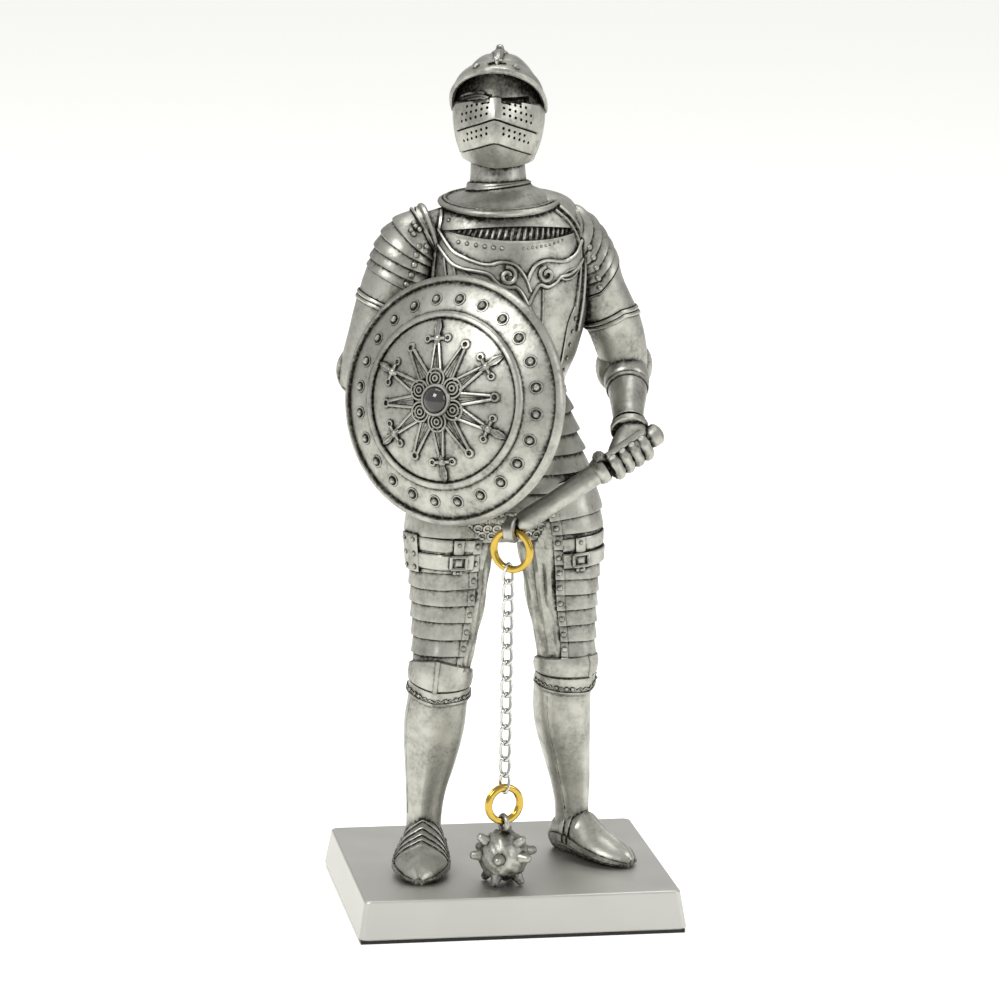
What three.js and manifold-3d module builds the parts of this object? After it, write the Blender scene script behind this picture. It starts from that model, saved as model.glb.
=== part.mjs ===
// A small cast statue of a knight in full plate armour, standing on a bevelled plinth. The left fist holds a
// flail whose spiked ball hangs on a chain, and the right forearm carries a round, domed shield.
// Millimetres, +Z up. The origin is the middle of the underside, and the knight faces -Y.
import * as THREE from "three";
import { mergeVertices } from "three/addons/utils/BufferGeometryUtils.js";
import Module from "manifold-3d";

const wasm = await Module();
wasm.setup();

// Plinth: a rectangular block with battered sides on a thin pad.
const PLINTH_WIDTH = 68.4;
const PLINTH_DEPTH = 56;
const PLINTH_HEIGHT = 8.0;
const PLINTH_BATTER = 1.2;
const PLINTH_EDGE = 0.5;
const PAD_THICKNESS = 0.8;
const PAD_INSET = 0.4;
const PLINTH_TOP = PAD_THICKNESS + PLINTH_HEIGHT;

// The figure is drawn at DRAWN_HEIGHT from sole to finial, and KNIGHT_HEIGHT makes it real.
const DRAWN_HEIGHT = 171.7;
const KNIGHT_HEIGHT = 171.7;
const k = KNIGHT_HEIGHT / DRAWN_HEIGHT;

// Armour.

// Shield: a round dome with a rolled rim, seated on the right forearm.
const SHIELD_DIAMETER = 50.4;
const SHIELD_RISE = 6.6;
const SHIELD_WALL = 1.6;
const SHIELD_RIVETS = 24;
const SHIELD_RIM_WIDTH = 1.5;
const SHIELD_RELIEF = 0.6;
const STONE_DIAMETER = 5.2;
const STONE_RISE = 2.1;
const SEAT_CLEARANCE = 0.3;

// Flail hardware: two jump rings, a chain of curb links and a spiked ball.
const RING_DIAMETER = 9.4;
const LOWER_RING_DIAMETER = 8.5;
const RING_WIRE = 1.35;
const LINK_NOMINAL_PITCH = 3.33;
const LINK_WIDTH = 2.75;
const LINK_WIRE = 0.6;
const RUNNING_GAP = 0.12;
const BALL_DIAMETER = 9.8;
const SPIKE_LENGTH = 2.4;
const SPIKE_DIAMETER = 2.2;
const BALL_DROP_GAP = 0.3;
const EYE_HOLE = 2.4;
const EYE_DIAMETER = 5.4;
const EYE_THICKNESS = 2.2;

const TAU = Math.PI * 2;
const deg = (a) => (a * Math.PI) / 180;
const V = (x, y, z) => new THREE.Vector3(x, y, z);
const mix = (a, b, t) => a + (b - a) * t;
const steps = (n) => Array.from({ length: n }, (_, i) => i);

// Solids from loops of points

function solid(points, triangles) {
  const position = new Float32Array(points.flatMap((p) => [p.x, p.y, p.z]));
  const raw = new THREE.BufferGeometry().setAttribute("position", new THREE.BufferAttribute(position, 3));
  raw.setIndex(triangles);
  const merged = mergeVertices(raw, 1e-4);
  const corners = merged.index.array;
  const kept = [];
  for (let i = 0; i < corners.length; i += 3) {
    const [a, b, c] = [corners[i], corners[i + 1], corners[i + 2]];
    if (a !== b && b !== c && c !== a) kept.push([a, b, c]);
  }
  const make = (list) =>
    new wasm.Manifold(
      new wasm.Mesh({
        numProp: 3,
        vertProperties: merged.attributes.position.array,
        triVerts: new Uint32Array(list.flat()),
      }),
    );
  const made = make(kept);
  return made.volume() >= 0 ? made : make(kept.map(([a, b, c]) => [b, a, c]));
}

// A tube through loops of equal length, with a fan closing each end.
function skin(loops) {
  const n = loops[0].length;
  const points = loops.flat();
  const triangles = [];
  for (let r = 0; r + 1 < loops.length; r++)
    for (let c = 0; c < n; c++) {
      const [a, b] = [r * n + c, r * n + ((c + 1) % n)];
      triangles.push(a, b, b + n, a, b + n, a + n);
    }
  for (const [row, turned] of [[0, true], [loops.length - 1, false]]) {
    const hub = points.length;
    points.push(loops[row].reduce((sum, p) => sum.add(p), V(0, 0, 0)).divideScalar(n));
    for (let c = 0; c < n; c++) {
      const [a, b] = [row * n + c, row * n + ((c + 1) % n)];
      triangles.push(...(turned ? [b, a, hub] : [a, b, hub]));
    }
  }
  return solid(points, triangles);
}

// A curved slab between two grids of points of the same size.
function slab(outer, inner) {
  const [rows, cols] = [outer.length, outer[0].length];
  const points = [...outer.flat(), ...inner.flat()];
  const at = (r, c, side) => side * rows * cols + r * cols + c;
  const triangles = [];
  const quad = (a, b, c, d) => triangles.push(a, b, c, a, c, d);
  for (let r = 0; r + 1 < rows; r++)
    for (let c = 0; c + 1 < cols; c++) {
      quad(at(r, c, 0), at(r, c + 1, 0), at(r + 1, c + 1, 0), at(r + 1, c, 0));
      quad(at(r, c, 1), at(r + 1, c, 1), at(r + 1, c + 1, 1), at(r, c + 1, 1));
    }
  for (let c = 0; c + 1 < cols; c++) {
    quad(at(0, c, 1), at(0, c + 1, 1), at(0, c + 1, 0), at(0, c, 0));
    quad(at(rows - 1, c, 0), at(rows - 1, c + 1, 0), at(rows - 1, c + 1, 1), at(rows - 1, c, 1));
  }
  for (let r = 0; r + 1 < rows; r++) {
    quad(at(r, 0, 0), at(r + 1, 0, 0), at(r + 1, 0, 1), at(r, 0, 1));
    quad(at(r, cols - 1, 1), at(r + 1, cols - 1, 1), at(r + 1, cols - 1, 0), at(r, cols - 1, 0));
  }
  return solid(points, triangles);
}

function axes(direction, near = V(0, 0, 1)) {
  const w = direction.clone().normalize();
  const helper = Math.abs(w.dot(near)) > 0.95 ? V(1, 0, 0) : near;
  const u = helper.clone().cross(w).normalize();
  return [u, w.clone().cross(u), w];
}

// A turned form: profile is [distance along the axis, radius].
function turned(at, direction, profile, sides) {
  const [u, v, w] = axes(direction);
  return skin(
    profile.map(([along, r]) =>
      steps(sides).map((i) =>
        at.clone().addScaledVector(w, along)
          .addScaledVector(u, r * Math.cos((TAU * i) / sides))
          .addScaledVector(v, r * Math.sin((TAU * i) / sides)),
      ),
    ),
  );
}

// A round rod along points, its section carried along without twist. radius may be one number or one per point.
function rodLoops(points, radius, sides, closed = false) {
  const n = points.length;
  const loops = [];
  let u = null;
  for (let i = 0; i < n; i++) {
    const before = points[closed ? (i + n - 1) % n : Math.max(0, i - 1)];
    const after = points[closed ? (i + 1) % n : Math.min(n - 1, i + 1)];
    const w = after.clone().sub(before).normalize();
    u = u ? u.addScaledVector(w, -u.dot(w)).normalize() : axes(w)[0];
    const v = w.clone().cross(u);
    const r = Array.isArray(radius) ? radius[i] : radius;
    loops.push(
      steps(sides).map((j) =>
        points[i].clone()
          .addScaledVector(u, r * Math.cos((TAU * j) / sides))
          .addScaledVector(v, r * Math.sin((TAU * j) / sides)),
      ),
    );
    u = u.clone();
  }
  return loops;
}
const rod = (points, radius, sides) => skin(rodLoops(points, radius, sides));

// A closed ring of wire whose middle line is given by a function of the angle.
function wireRing(middle, frameAt, wire, around, sides) {
  const points = [];
  for (let i = 0; i < around; i++) {
    const angle = (TAU * i) / around;
    const [out, side] = frameAt(angle);
    for (let j = 0; j < sides; j++) {
      const b = (TAU * (j + 0.5)) / sides;
      points.push(
        middle(angle).addScaledVector(out, (wire / 2) * Math.cos(b)).addScaledVector(side, (wire / 2) * Math.sin(b)),
      );
    }
  }
  const triangles = [];
  for (let i = 0; i < around; i++)
    for (let j = 0; j < sides; j++) {
      const [a, b] = [i * sides + j, i * sides + ((j + 1) % sides)];
      const [c, d] = [((i + 1) % around) * sides + j, ((i + 1) % around) * sides + ((j + 1) % sides)];
      triangles.push(a, b, d, a, d, c);
    }
  return solid(points, triangles);
}

const join = (list) => list.reduce((sum, next) => sum.add(next));

// A casting is its one outer skin: facets finer than the grain are merged, and hidden voids are dropped.
const cast = (shape, grain) =>
  shape.simplify(grain).decompose().reduce((most, next) => (next.volume() > most.volume() ? next : most));

// A body is a tube along a path, with a half-width, a front and a back half-depth, and a keel that
// sharpens its front. Its stations are [s, x, y, z, width, front, back, keel].
function body(front, stations) {
  const rows = stations.map(([s, ...sizes]) => [s, ...sizes.map((x, i) => (i < 6 ? x * k : x))]);
  const value = (s) => {
    let i = 1;
    while (i < rows.length - 1 && s > rows[i][0]) i++;
    const [p, q] = [rows[i - 1], rows[i]];
    const [o, r] = [rows[Math.max(0, i - 2)], rows[Math.min(rows.length - 1, i + 1)]];
    const span = q[0] - p[0];
    const t = (s - p[0]) / span;
    const clamp = Math.min(1, Math.max(0, t));
    const [t2, t3] = [clamp * clamp, clamp * clamp * clamp];
    return p.map((_, j) => {
      if (j === 0) return s;
      const m0 = ((q[j] - o[j]) / (q[0] - o[0])) * span;
      const m1 = ((r[j] - p[j]) / (r[0] - p[0])) * span;
      return (2 * t3 - 3 * t2 + 1) * p[j] + (t3 - 2 * t2 + clamp) * m0 + (3 * t2 - 2 * t3) * q[j] + (t3 - t2) * m1;
    });
  };
  const ends = [rows[0][0], rows[rows.length - 1][0]];
  const centre = (s) => V(...value(s).slice(1, 4));
  const frame = (s) => {
    const h = (ends[1] - ends[0]) * 0.01;
    const [lo, hi] = [Math.max(ends[0], s - h), Math.min(ends[1], s + h)];
    const w = centre(hi).sub(centre(lo)).normalize();
    const f = V(...front).addScaledVector(w, -w.dot(V(...front))).normalize();
    return [w.clone().cross(f), f, w];
  };
  const bare = (s, theta) => {
    const [, , , , width, fore, back, keel] = value(s);
    const [side, ahead] = frame(s);
    const [c, d] = [Math.cos(theta), Math.sin(theta)];
    const depth = d > 0 ? fore * mix(d, 1 - Math.abs(c), keel) : back * d;
    return centre(s).addScaledVector(side, width * c).addScaledVector(ahead, depth);
  };
  const normal = (s, theta) => {
    const h = (ends[1] - ends[0]) * 0.004;
    const [lo, hi] = [Math.max(ends[0], s - h), Math.min(ends[1], s + h)];
    const along = bare(hi, theta).sub(bare(lo, theta));
    return along.cross(bare(s, theta + 0.03).sub(bare(s, theta - 0.03))).normalize();
  };
  const point = (s, theta, lift = 0) => bare(s, theta).addScaledVector(normal(s, theta), lift);
  const core = (from, to, rings, sides, grow = 0) =>
    skin(
      steps(rings + 1).map((i) =>
        steps(sides).map((j) => point(mix(from, to, i / rings), (TAU * (j + 0.5)) / sides, grow)),
      ),
    );
  return { point, core, centre, frame, value };
}

// A coat of armour made as one skin round a body. Each row is [s, lift, first angle, last angle, dip]: between
// the angles it stands proud by lift and its middle drops by dip, and elsewhere it stands proud by rest.
function coat(on, turns, rows, rest = 0) {
  return skin(
    rows.map(([s, lift, first = -360, last = 720, dip = 0]) =>
      turns.map((a) => {
        const angle = a - 360 >= first ? a - 360 : a;
        const inside = angle >= first && angle <= last;
        const across = inside ? 1 - Math.abs((2 * (angle - first)) / (last - first) - 1) : 0;
        return on.point(s - dip * across, deg(a), (inside ? lift : rest) * k);
      }),
    ),
  );
}

// Columns round a body: evenly spaced over a plate's width, close together over its two edges, and few elsewhere.
function columns(first, last, inside, outside) {
  const edge = 3;
  const rest = 360 - (last - first) - 2 * edge;
  return [
    first - edge,
    ...steps(inside).map((i) => mix(first, last, i / (inside - 1))),
    last + edge,
    ...steps(outside).map((i) => last + edge + (rest * (i + 1)) / (outside + 1)),
  ];
}

// Rows of overlapping lames from s = low up to s = high, each proud at its lower edge.
function lames(low, high, count, proud, tucked, first, last, dip = 0) {
  const pitch = (high - low) / count;
  return steps(count).flatMap((i) => [
    [low + pitch * i, proud, first, last, dip],
    [low + pitch * (i + 1), tucked, first, last, dip],
  ]);
}

// Heights and angles of the figure, at DRAWN_HEIGHT

const WAIST = 100;
const HEAD_TURN = 13.5;
const facing = (turn) => [Math.sin(deg(turn)), -Math.cos(deg(turn)), 0];

const torso = body(facing(5), [
  [70, -0.8, 1.5, 70, 12.5, 8.5, 8.5, 0.05],
  [76, -0.9, 1.5, 76, 18.0, 10.5, 10.5, 0.05],
  [86, -0.4, 1.5, 86, 16.6, 11.0, 10.3, 0.08],
  [95, 0.0, 1.5, 95, 13.2, 10.6, 9.0, 0.1],
  [102, -0.1, 1.5, 102, 11.0, 10.6, 8.4, 0.12],
  [110, 0.0, 1.5, 110, 13.5, 13.4, 9.6, 0.15],
  [119, -0.3, 1.5, 119, 15.9, 13.6, 10.8, 0.12],
  [127, -0.9, 1.6, 127, 16.6, 12.2, 11.0, 0.08],
  [134, -1.2, 1.8, 134, 15.2, 10.3, 10.2, 0.04],
  [139, -1.5, 2.0, 138.6, 13.0, 8.6, 8.8, 0],
  [143, -1.8, 2.0, 141.4, 7.0, 6.4, 7.2, 0],
]);

const gorget = body(facing(-5), [
  [0, -2.7, 1.6, 140.2, 11.9, 13.0, 10.4, 0],
  [1, -2.75, 1.5, 141.2, 9.8, 10.2, 9.0, 0],
  [2, -2.85, 1.5, 142.2, 7.0, 7.5, 7.2, 0],
  [3, -2.95, 1.6, 143.4, 5.9, 6.3, 6.4, 0],
  [4, -3.1, 1.9, 147.5, 5.5, 5.6, 6.0, 0],
]);

const helm = body(facing(-HEAD_TURN), [
  [0, -3.1, 2.0, 143.5, 5.6, 5.8, 6.2, 0.1],
  [1, -3.1, 2.0, 147.8, 5.6, 5.9, 6.6, 0.1],
  [2, -3.1, 1.8, 149.6, 7.7, 9.8, 8.8, 0.3],
  [3, -3.1, 1.6, 152.6, 8.8, 12.3, 10.4, 0.36],
  [4, -3.1, 1.5, 156.6, 9.4, 12.8, 11.0, 0.34],
  [5, -3.1, 1.5, 160.6, 9.2, 11.4, 11.0, 0.22],
  [6, -3.1, 1.5, 164.0, 7.9, 9.4, 9.8, 0.08],
  [7, -3.1, 1.5, 167.0, 6.0, 8.0, 7.6, 0],
  [8, -3.1, 1.5, 169.2, 3.6, 5.2, 4.6, 0],
  [9, -3.1, 1.5, 170.0, 0.8, 1.0, 1.0, 0],
]);

const rightArm = body(facing(-25), [
  [100, -30.6, 4.2, 100, 4.6, 4.8, 4.8, 0],
  [105, -29.5, 3.5, 105, 5.4, 5.6, 5.6, 0],
  [111, -27.8, 2.8, 111, 5.8, 6.2, 6.2, 0],
  [118, -25.6, 2.2, 118, 6.4, 6.9, 6.9, 0],
  [124.5, -23.0, 2.0, 124.5, 6.8, 7.6, 7.6, 0],
  [130, -20.6, 2.0, 130, 6.9, 8.0, 8.0, 0],
  [134, -17.8, 2.0, 132.6, 6.0, 6.4, 6.8, 0],
  [138.5, -13.4, 2.0, 133.6, 5.0, 4.6, 5.0, 0],
]);

const rightForearm = body([0, 0, 1], [
  [0, -10.6, -12.6, 103.6, 3.6, 3.0, 3.2, 0],
  [1, -15.8, -8.2, 103.9, 3.8, 3.4, 3.6, 0],
  [2, -22.8, -2.4, 104.2, 4.7, 4.4, 4.4, 0],
  [3, -29.4, 3.2, 104.4, 5.0, 5.0, 5.0, 0],
]);

const leftArm = body(facing(20), [
  [100, 24.8, 4.6, 100, 3.9, 4.6, 4.6, 0],
  [105, 24.8, 4.4, 105, 4.7, 5.2, 5.2, 0],
  [109, 23.8, 3.5, 109, 5.2, 5.6, 5.6, 0],
  [114, 22.0, 2.6, 114, 5.5, 6.0, 6.1, 0],
  [121, 18.2, 2.0, 121, 5.6, 6.7, 7.0, 0],
  [128, 15.4, 2.0, 128, 6.0, 6.6, 7.6, 0],
  [133.5, 12.0, 2.0, 133.4, 5.4, 5.2, 6.8, 0],
  [138.5, 7.2, 2.0, 136.6, 3.2, 3.2, 5.0, 0],
]);

const leftForearm = body([0, -0.51, 0.86], [
  [0, 22.8, -12.2, 94.0, 3.1, 3.0, 3.0, 0],
  [1, 23.2, -8.4, 96.6, 3.2, 3.4, 3.4, 0],
  [2, 24.3, -2.0, 100.6, 4.0, 4.2, 4.2, 0],
  [3, 24.8, 4.0, 104.6, 4.5, 4.8, 4.8, 0],
]);

const rightLeg = body(facing(-18), [
  [4, -16.4, 2.6, 4, 3.7, 3.9, 4.4, 0.15],
  [9, -16.4, 2.8, 9, 3.7, 4.0, 4.0, 0.25],
  [15, -16.1, 2.6, 15, 4.1, 4.4, 4.5, 0.3],
  [22, -15.4, 2.0, 22, 5.3, 5.3, 6.0, 0.32],
  [29, -14.8, 1.2, 29, 6.2, 6.0, 6.6, 0.32],
  [35, -14.3, 0.0, 35, 6.1, 6.2, 6.2, 0.3],
  [41.5, -13.9, -1.2, 41.5, 6.0, 6.6, 5.6, 0.3],
  [48, -13.2, -0.6, 48, 6.6, 6.7, 6.2, 0.36],
  [56, -12.4, 0.2, 56, 7.7, 7.7, 7.4, 0.36],
  [65, -12.0, 0.8, 65, 8.6, 8.9, 8.4, 0.3],
  [74, -11.4, 1.4, 74, 9.8, 9.9, 9.4, 0.18],
  [82, -9.5, 1.5, 82, 9.4, 9.4, 9.4, 0.05],
]);

const leftLeg = body(facing(33), [
  [4, 16.1, 4.6, 4, 3.3, 3.9, 4.4, 0.15],
  [10, 15.9, 4.6, 10, 3.4, 3.9, 4.1, 0.25],
  [16, 15.4, 4.2, 16, 4.0, 4.3, 4.7, 0.3],
  [23, 14.3, 3.2, 23, 4.9, 5.2, 6.0, 0.32],
  [30, 13.2, 2.2, 30, 5.9, 6.0, 6.6, 0.32],
  [36, 12.7, 1.0, 36, 6.2, 6.2, 6.2, 0.3],
  [41.5, 12.8, -0.4, 41.5, 6.2, 6.6, 5.8, 0.25],
  [48, 12.7, -0.2, 48, 6.4, 6.6, 6.2, 0.2],
  [56, 12.0, 0.4, 56, 7.5, 7.6, 7.4, 0.2],
  [65, 11.5, 1.0, 65, 8.5, 8.8, 8.4, 0.15],
  [74, 10.6, 1.4, 74, 9.4, 9.6, 9.4, 0.1],
  [82, 8.5, 1.5, 82, 9.4, 9.4, 9.4, 0.05],
]);

const rightFoot = body([0, 0, 1], [
  [0, -15.4, 7.8, 2.4, 2.6, 2.2, 3.4, 0],
  [1, -15.9, 5.2, 3.4, 3.7, 4.4, 4.4, 0],
  [2, -16.8, 0.4, 3.6, 4.0, 5.4, 4.6, 0.1],
  [3, -18.0, -5.4, 2.8, 4.9, 4.0, 3.8, 0.3],
  [4, -19.0, -10.8, 2.0, 5.0, 3.2, 3.0, 0.35],
  [5, -19.9, -15.0, 1.4, 3.0, 2.2, 2.4, 0.4],
  [6, -20.4, -17.2, 1.0, 0.8, 0.9, 2.0, 0.2],
]);

const leftFoot = body([0, 0, 1], [
  [0, 13.4, 8.6, 2.4, 2.6, 2.2, 3.4, 0],
  [1, 14.8, 6.4, 3.4, 3.5, 4.4, 4.4, 0],
  [2, 17.4, 2.4, 3.6, 3.8, 5.4, 4.6, 0.1],
  [3, 20.4, -2.2, 2.8, 4.5, 3.7, 3.8, 0.35],
  [4, 23.0, -6.0, 2.0, 4.0, 2.6, 3.0, 0.4],
  [5, 24.9, -8.8, 1.3, 2.1, 1.6, 2.3, 0.4],
  [6, 25.7, -10.2, 1.0, 0.6, 0.8, 2.0, 0.2],
]);

// The flail's handle runs from its eye, over the groin, through the left fist to its pommel.
const EYE_AT = V(-2.2, -17.5, 75.0).multiplyScalar(k);
const POMMEL_AT = V(28.4, -13.0, 93.6).multiplyScalar(k);
const HANDLE = POMMEL_AT.clone().sub(EYE_AT);
const HANDLE_LENGTH = HANDLE.length();
const onHandle = (share) => EYE_AT.clone().addScaledVector(HANDLE, share);

const around = (count, start = 0) => steps(count).map((i) => start + (360 * i) / count);

function helmet() {
  const face = [33, 146];
  const skull = coat(helm, columns(...face, 7, 4), [
    [0, 0], [1, 0], [1.6, 0.1], [1.7, 0.4], [2.34, 0.2, ...face, -0.9], [2.4, 0.8, ...face, -0.9],
    [3.48, 0.6, ...face, -0.78], [3.54, 1.0, ...face, -0.78], [4.86, 0.9, ...face, -0.5], [4.9, -0.3, ...face, -0.5],
    [5.5, -0.2], [6.2, 0], [7, 0], [8, 0], [9, 0],
  ]);
  const comb = steps(7).map((i) => combPoint(i / 6));
  const top = helm.centre(9);
  const finial = turned(V(top.x, top.y, top.z - 1.4 * k), V(0, 0, 1), [
    [0, 2.0 * k], [1.6 * k, 1.6 * k], [2.1 * k, 0.8 * k], [3.1 * k, 0.15 * k],
  ], 8);
  return join([skull, peak(), rod(comb, 0.9 * k, 4), finial]);
}

// The low comb over the skull, from the brow (t = 0) to the nape (t = 1).
function combPoint(t) {
  const rise = t < 0.4;
  return helm.point(rise ? mix(7.3, 8.9, t / 0.4) : mix(8.9, 4.8, (t - 0.4) / 0.6), deg(rise ? 90 : 270));
}

// The raised peak: a thin sheet that leaves the skull and arches over the face.
function peak() {
  const [side, ahead] = helm.frame(5);
  const c = helm.centre(5);
  const across = 12;
  const place = (x, f, z) => V(c.x, c.y, 0).addScaledVector(side, x * k).addScaledVector(ahead, f * k).setZ(z * k);
  const row = (share, drop) =>
    steps(across + 1).map((i) => {
      const a = mix(-1.75, 1.75, i / across);
      const front = Math.max(0, Math.cos(a * 0.88));
      const root = [8.0 * Math.sin(a), 5.5 * front - 1.2, 162.0 + 6.6 * front ** 1.5];
      const edge = [9.4 * Math.sin(a), 15.6 * front ** 0.9 - 1.4, 158.2 + 10.1 * front ** 0.95];
      const bulge = Math.sin(Math.PI * share) * 1.0;
      return place(
        mix(root[0], edge[0], share) * (1 + 0.03 * bulge),
        mix(root[1], edge[1], share),
        mix(root[2], edge[2], share) + bulge - drop,
      );
    });
  const shares = [0, 0.5, 1];
  return slab(shares.map((t) => row(t, 0)), shares.map((t) => row(t, t < 0.1 ? 2.2 : 1.1)));
}

function cuirass() {
  const slot = [30, 150];
  const body = coat(torso, columns(...slot, 6, 5), [
    [70, 0], [77, 0.4], ...lames(77, WAIST, 6, 1.1, 0.3), [WAIST, 1.5], [WAIST + 1.8, 1.5], [WAIST + 1.8, 0.9],
    [108, 0.9], [115, 0.9], [122, 0.9], [128.5, 0.9],
    [133.2, 0.9], [133.3, -0.2, ...slot], [135.3, -0.2, ...slot], [135.4, 0.9], [138.4, 0.6], [143, 0],
  ], 0.9);
  const neck = coat(gorget, around(12, 90), [
    [-0.25, 0], [0, 0.5], [0.45, 0.5], [0.45, 0], [1.2, 0], [2, 0], [2.6, 0.5], [3.0, 0.5], [3.0, 0], [4, 0],
  ]);
  return join([body, neck, scroll(-1), scroll(1)]);
}

// A scroll on the breast: a band from the armhole that rolls into a volute, and a limb down to the point.
function scroll(side) {
  const at = (across, z) => {
    const width = torso.value(z)[4] / k;
    return torso.point(z, Math.acos(Math.max(-1, Math.min(1, (side * across) / width))), 0.9 * k);
  };
  const sweep = [[14.6, 134.2], [11.0, 129.6], [7.4, 128.2]].map(([a, z]) => at(a, z));
  const curl = steps(8).map((i) => {
    const angle = deg(105) - (i / 7) * 1.2 * TAU;
    const r = 2.3 * (1 - 0.75 * (i / 7));
    return at(4.7 + r * Math.cos(angle), 126.0 + r * Math.sin(angle));
  });
  const limb = [[3.4, 128.2], [1.6, 126.0], [0.2, 121.6]].map(([a, z]) => at(a, z));
  return join([rod([...sweep, ...curl], 0.8 * k, 4), rod(limb, 0.8 * k, 4)]);
}

// Leg harness: a thigh defence of lames over one side, a pointed poleyn, a greave and a sabaton.
function leg(on, foot, outer, poleyn, cuisse) {
  const knee = [-35, 215];
  const [low, high, point] = poleyn;
  const harness = coat(on, columns(...outer, 6, 2), [
    [5, 0], [9, 0], [15, 0.2], [22, 0.2], [29, 0.2], [low - 3, 0.2],
    [low - 2.9, 0.6, ...knee], [low - 0.1, 0.3, ...knee], [low, 0.9, ...knee],
    [mix(low, high, 0.5), 1.1, ...knee, -0.8], [high - 0.2, 0.9, ...knee, point], [high, 0, ...knee, point],
    ...lames(...cuisse, 0.4, 0, ...outer, 0.7), [82, 0],
  ]);
  const sabaton = coat(foot, around(10, 90), [
    [0, 0], [1, 0], [1.9, 0], ...lames(2.0, 4.6, 4, 0.3, 0.7, -10, 190), [5.2, 0.1], [6, 0],
  ]);
  return join([harness, sabaton]);
}

// Arm harness: six lames over the shoulder, a ridged rerebrace, a cupped couter and a vambrace.
function arm(on, forearm, cover, band, shoulder, end, rings) {
  const upper = coat(on, columns(...cover, 6, 1), [
    [101, 0], [band, 0], [band + 0.1, 0.6], [band + 1.6, 0.6], [band + 1.7, 0],
    ...lames(...shoulder, 0.4, 0, ...cover), [end - 0.2, 0.2], [end, -0.5],
  ]);
  const lower = coat(forearm, around(8, 90), rings);
  const elbow = on.centre(104.4);
  const back = on.frame(104.4)[1].clone().multiplyScalar(-1);
  const cup = turned(elbow, back, [
    [-2.4 * k, 5.6 * k], [1.4 * k, 6.0 * k], [4.2 * k, 4.4 * k], [5.8 * k, 1.4 * k],
  ], 10);
  return join([upper, lower, cup]);
}

// A closed fist about a grip: four fingers and a thumb around the axis, and the back of the hand.
function fist({ centre, along, wrist, grip, up }) {
  const w = along.clone().normalize();
  const out = up.clone().addScaledVector(w, -up.dot(w)).normalize();
  const side = w.clone().cross(out);
  const pitch = 2.35 * k;
  const finger = 1.25 * k;
  const reach = grip + finger * 0.85;
  const ringPoint = (offset, angle, r) =>
    centre.clone().addScaledVector(w, offset)
      .addScaledVector(out, r * Math.cos(angle)).addScaledVector(side, r * Math.sin(angle));
  const parts = [];
  for (const i of steps(4)) {
    const offset = (i - 1.5) * pitch;
    const arc = steps(4).map((j) => ringPoint(offset, deg(mix(-20, 230, j / 3)), reach));
    parts.push(rod(arc, finger, 4));
  }
  const thumb = steps(4).map((j) => ringPoint(-2.35 * pitch + j * 0.1 * k, deg(mix(-20, -200, j / 3)), reach));
  parts.push(rod(thumb, finger * 1.05, 4));
  const knuckle = ringPoint(0, deg(-8), reach * 1.05);
  const palm = ringPoint(0, deg(-120), reach * 0.9);
  const heel = wrist.clone();
  const [hw, hf] = [4.9 * k, 2.0 * k];
  const reachOut = knuckle.clone().sub(heel).normalize();
  const across = w.clone().cross(reachOut).normalize();
  const loop = (at, thick, wide) =>
    steps(8).map((j) => {
      const turn = (TAU * j) / 8;
      return at.clone().addScaledVector(w, wide * Math.cos(turn)).addScaledVector(across, thick * Math.sin(turn));
    });
  parts.push(
    skin([
      loop(heel, 2.6 * k, 3.0 * k),
      loop(heel.clone().lerp(knuckle, 0.55), hf * 1.25, hw * 0.95),
      loop(knuckle, hf * 0.8, hw),
    ]),
    rod([heel, palm], [2.4 * k, 2.0 * k], 6),
  );
  return join(parts);
}

function handle() {
  const w = HANDLE.clone().normalize();
  const at = (share) => share * HANDLE_LENGTH;
  const shaft = turned(EYE_AT, w, [
    [1.2 * k, 1.5 * k], [2.4 * k, 2.0 * k], [4.4 * k, 2.25 * k], [at(0.3), 2.05 * k], [at(0.58), 2.2 * k],
    [at(0.6), 2.75 * k], [at(0.63), 2.75 * k], [at(0.65), 1.75 * k], [at(0.7), 1.55 * k], [at(0.88), 1.5 * k],
    [at(0.93), 1.7 * k], [at(0.955), 2.2 * k], [at(1), 2.1 * k], [at(1) + 0.9 * k, 1.2 * k],
  ], 8);
  const lug = turned(EYE_AT.clone().addScaledVector(EYE_AXIS, -EYE_THICKNESS / 2), EYE_AXIS, [
    [0, EYE_DIAMETER / 2], [EYE_THICKNESS, EYE_DIAMETER / 2],
  ], 12);
  const bore = turned(EYE_AT.clone().addScaledVector(EYE_AXIS, -EYE_THICKNESS), EYE_AXIS, [
    [0, EYE_HOLE / 2], [EYE_THICKNESS * 2, EYE_HOLE / 2],
  ], 10);
  return { metal: shaft.add(lug), bore };
}

// The eye is drilled level, so that the ring hangs in an upright plane that contains the bore's axis.
const UPPER_TURN = deg(-35);
const EYE_AXIS = V(Math.cos(UPPER_TURN), Math.sin(UPPER_TURN), 0);

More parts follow.
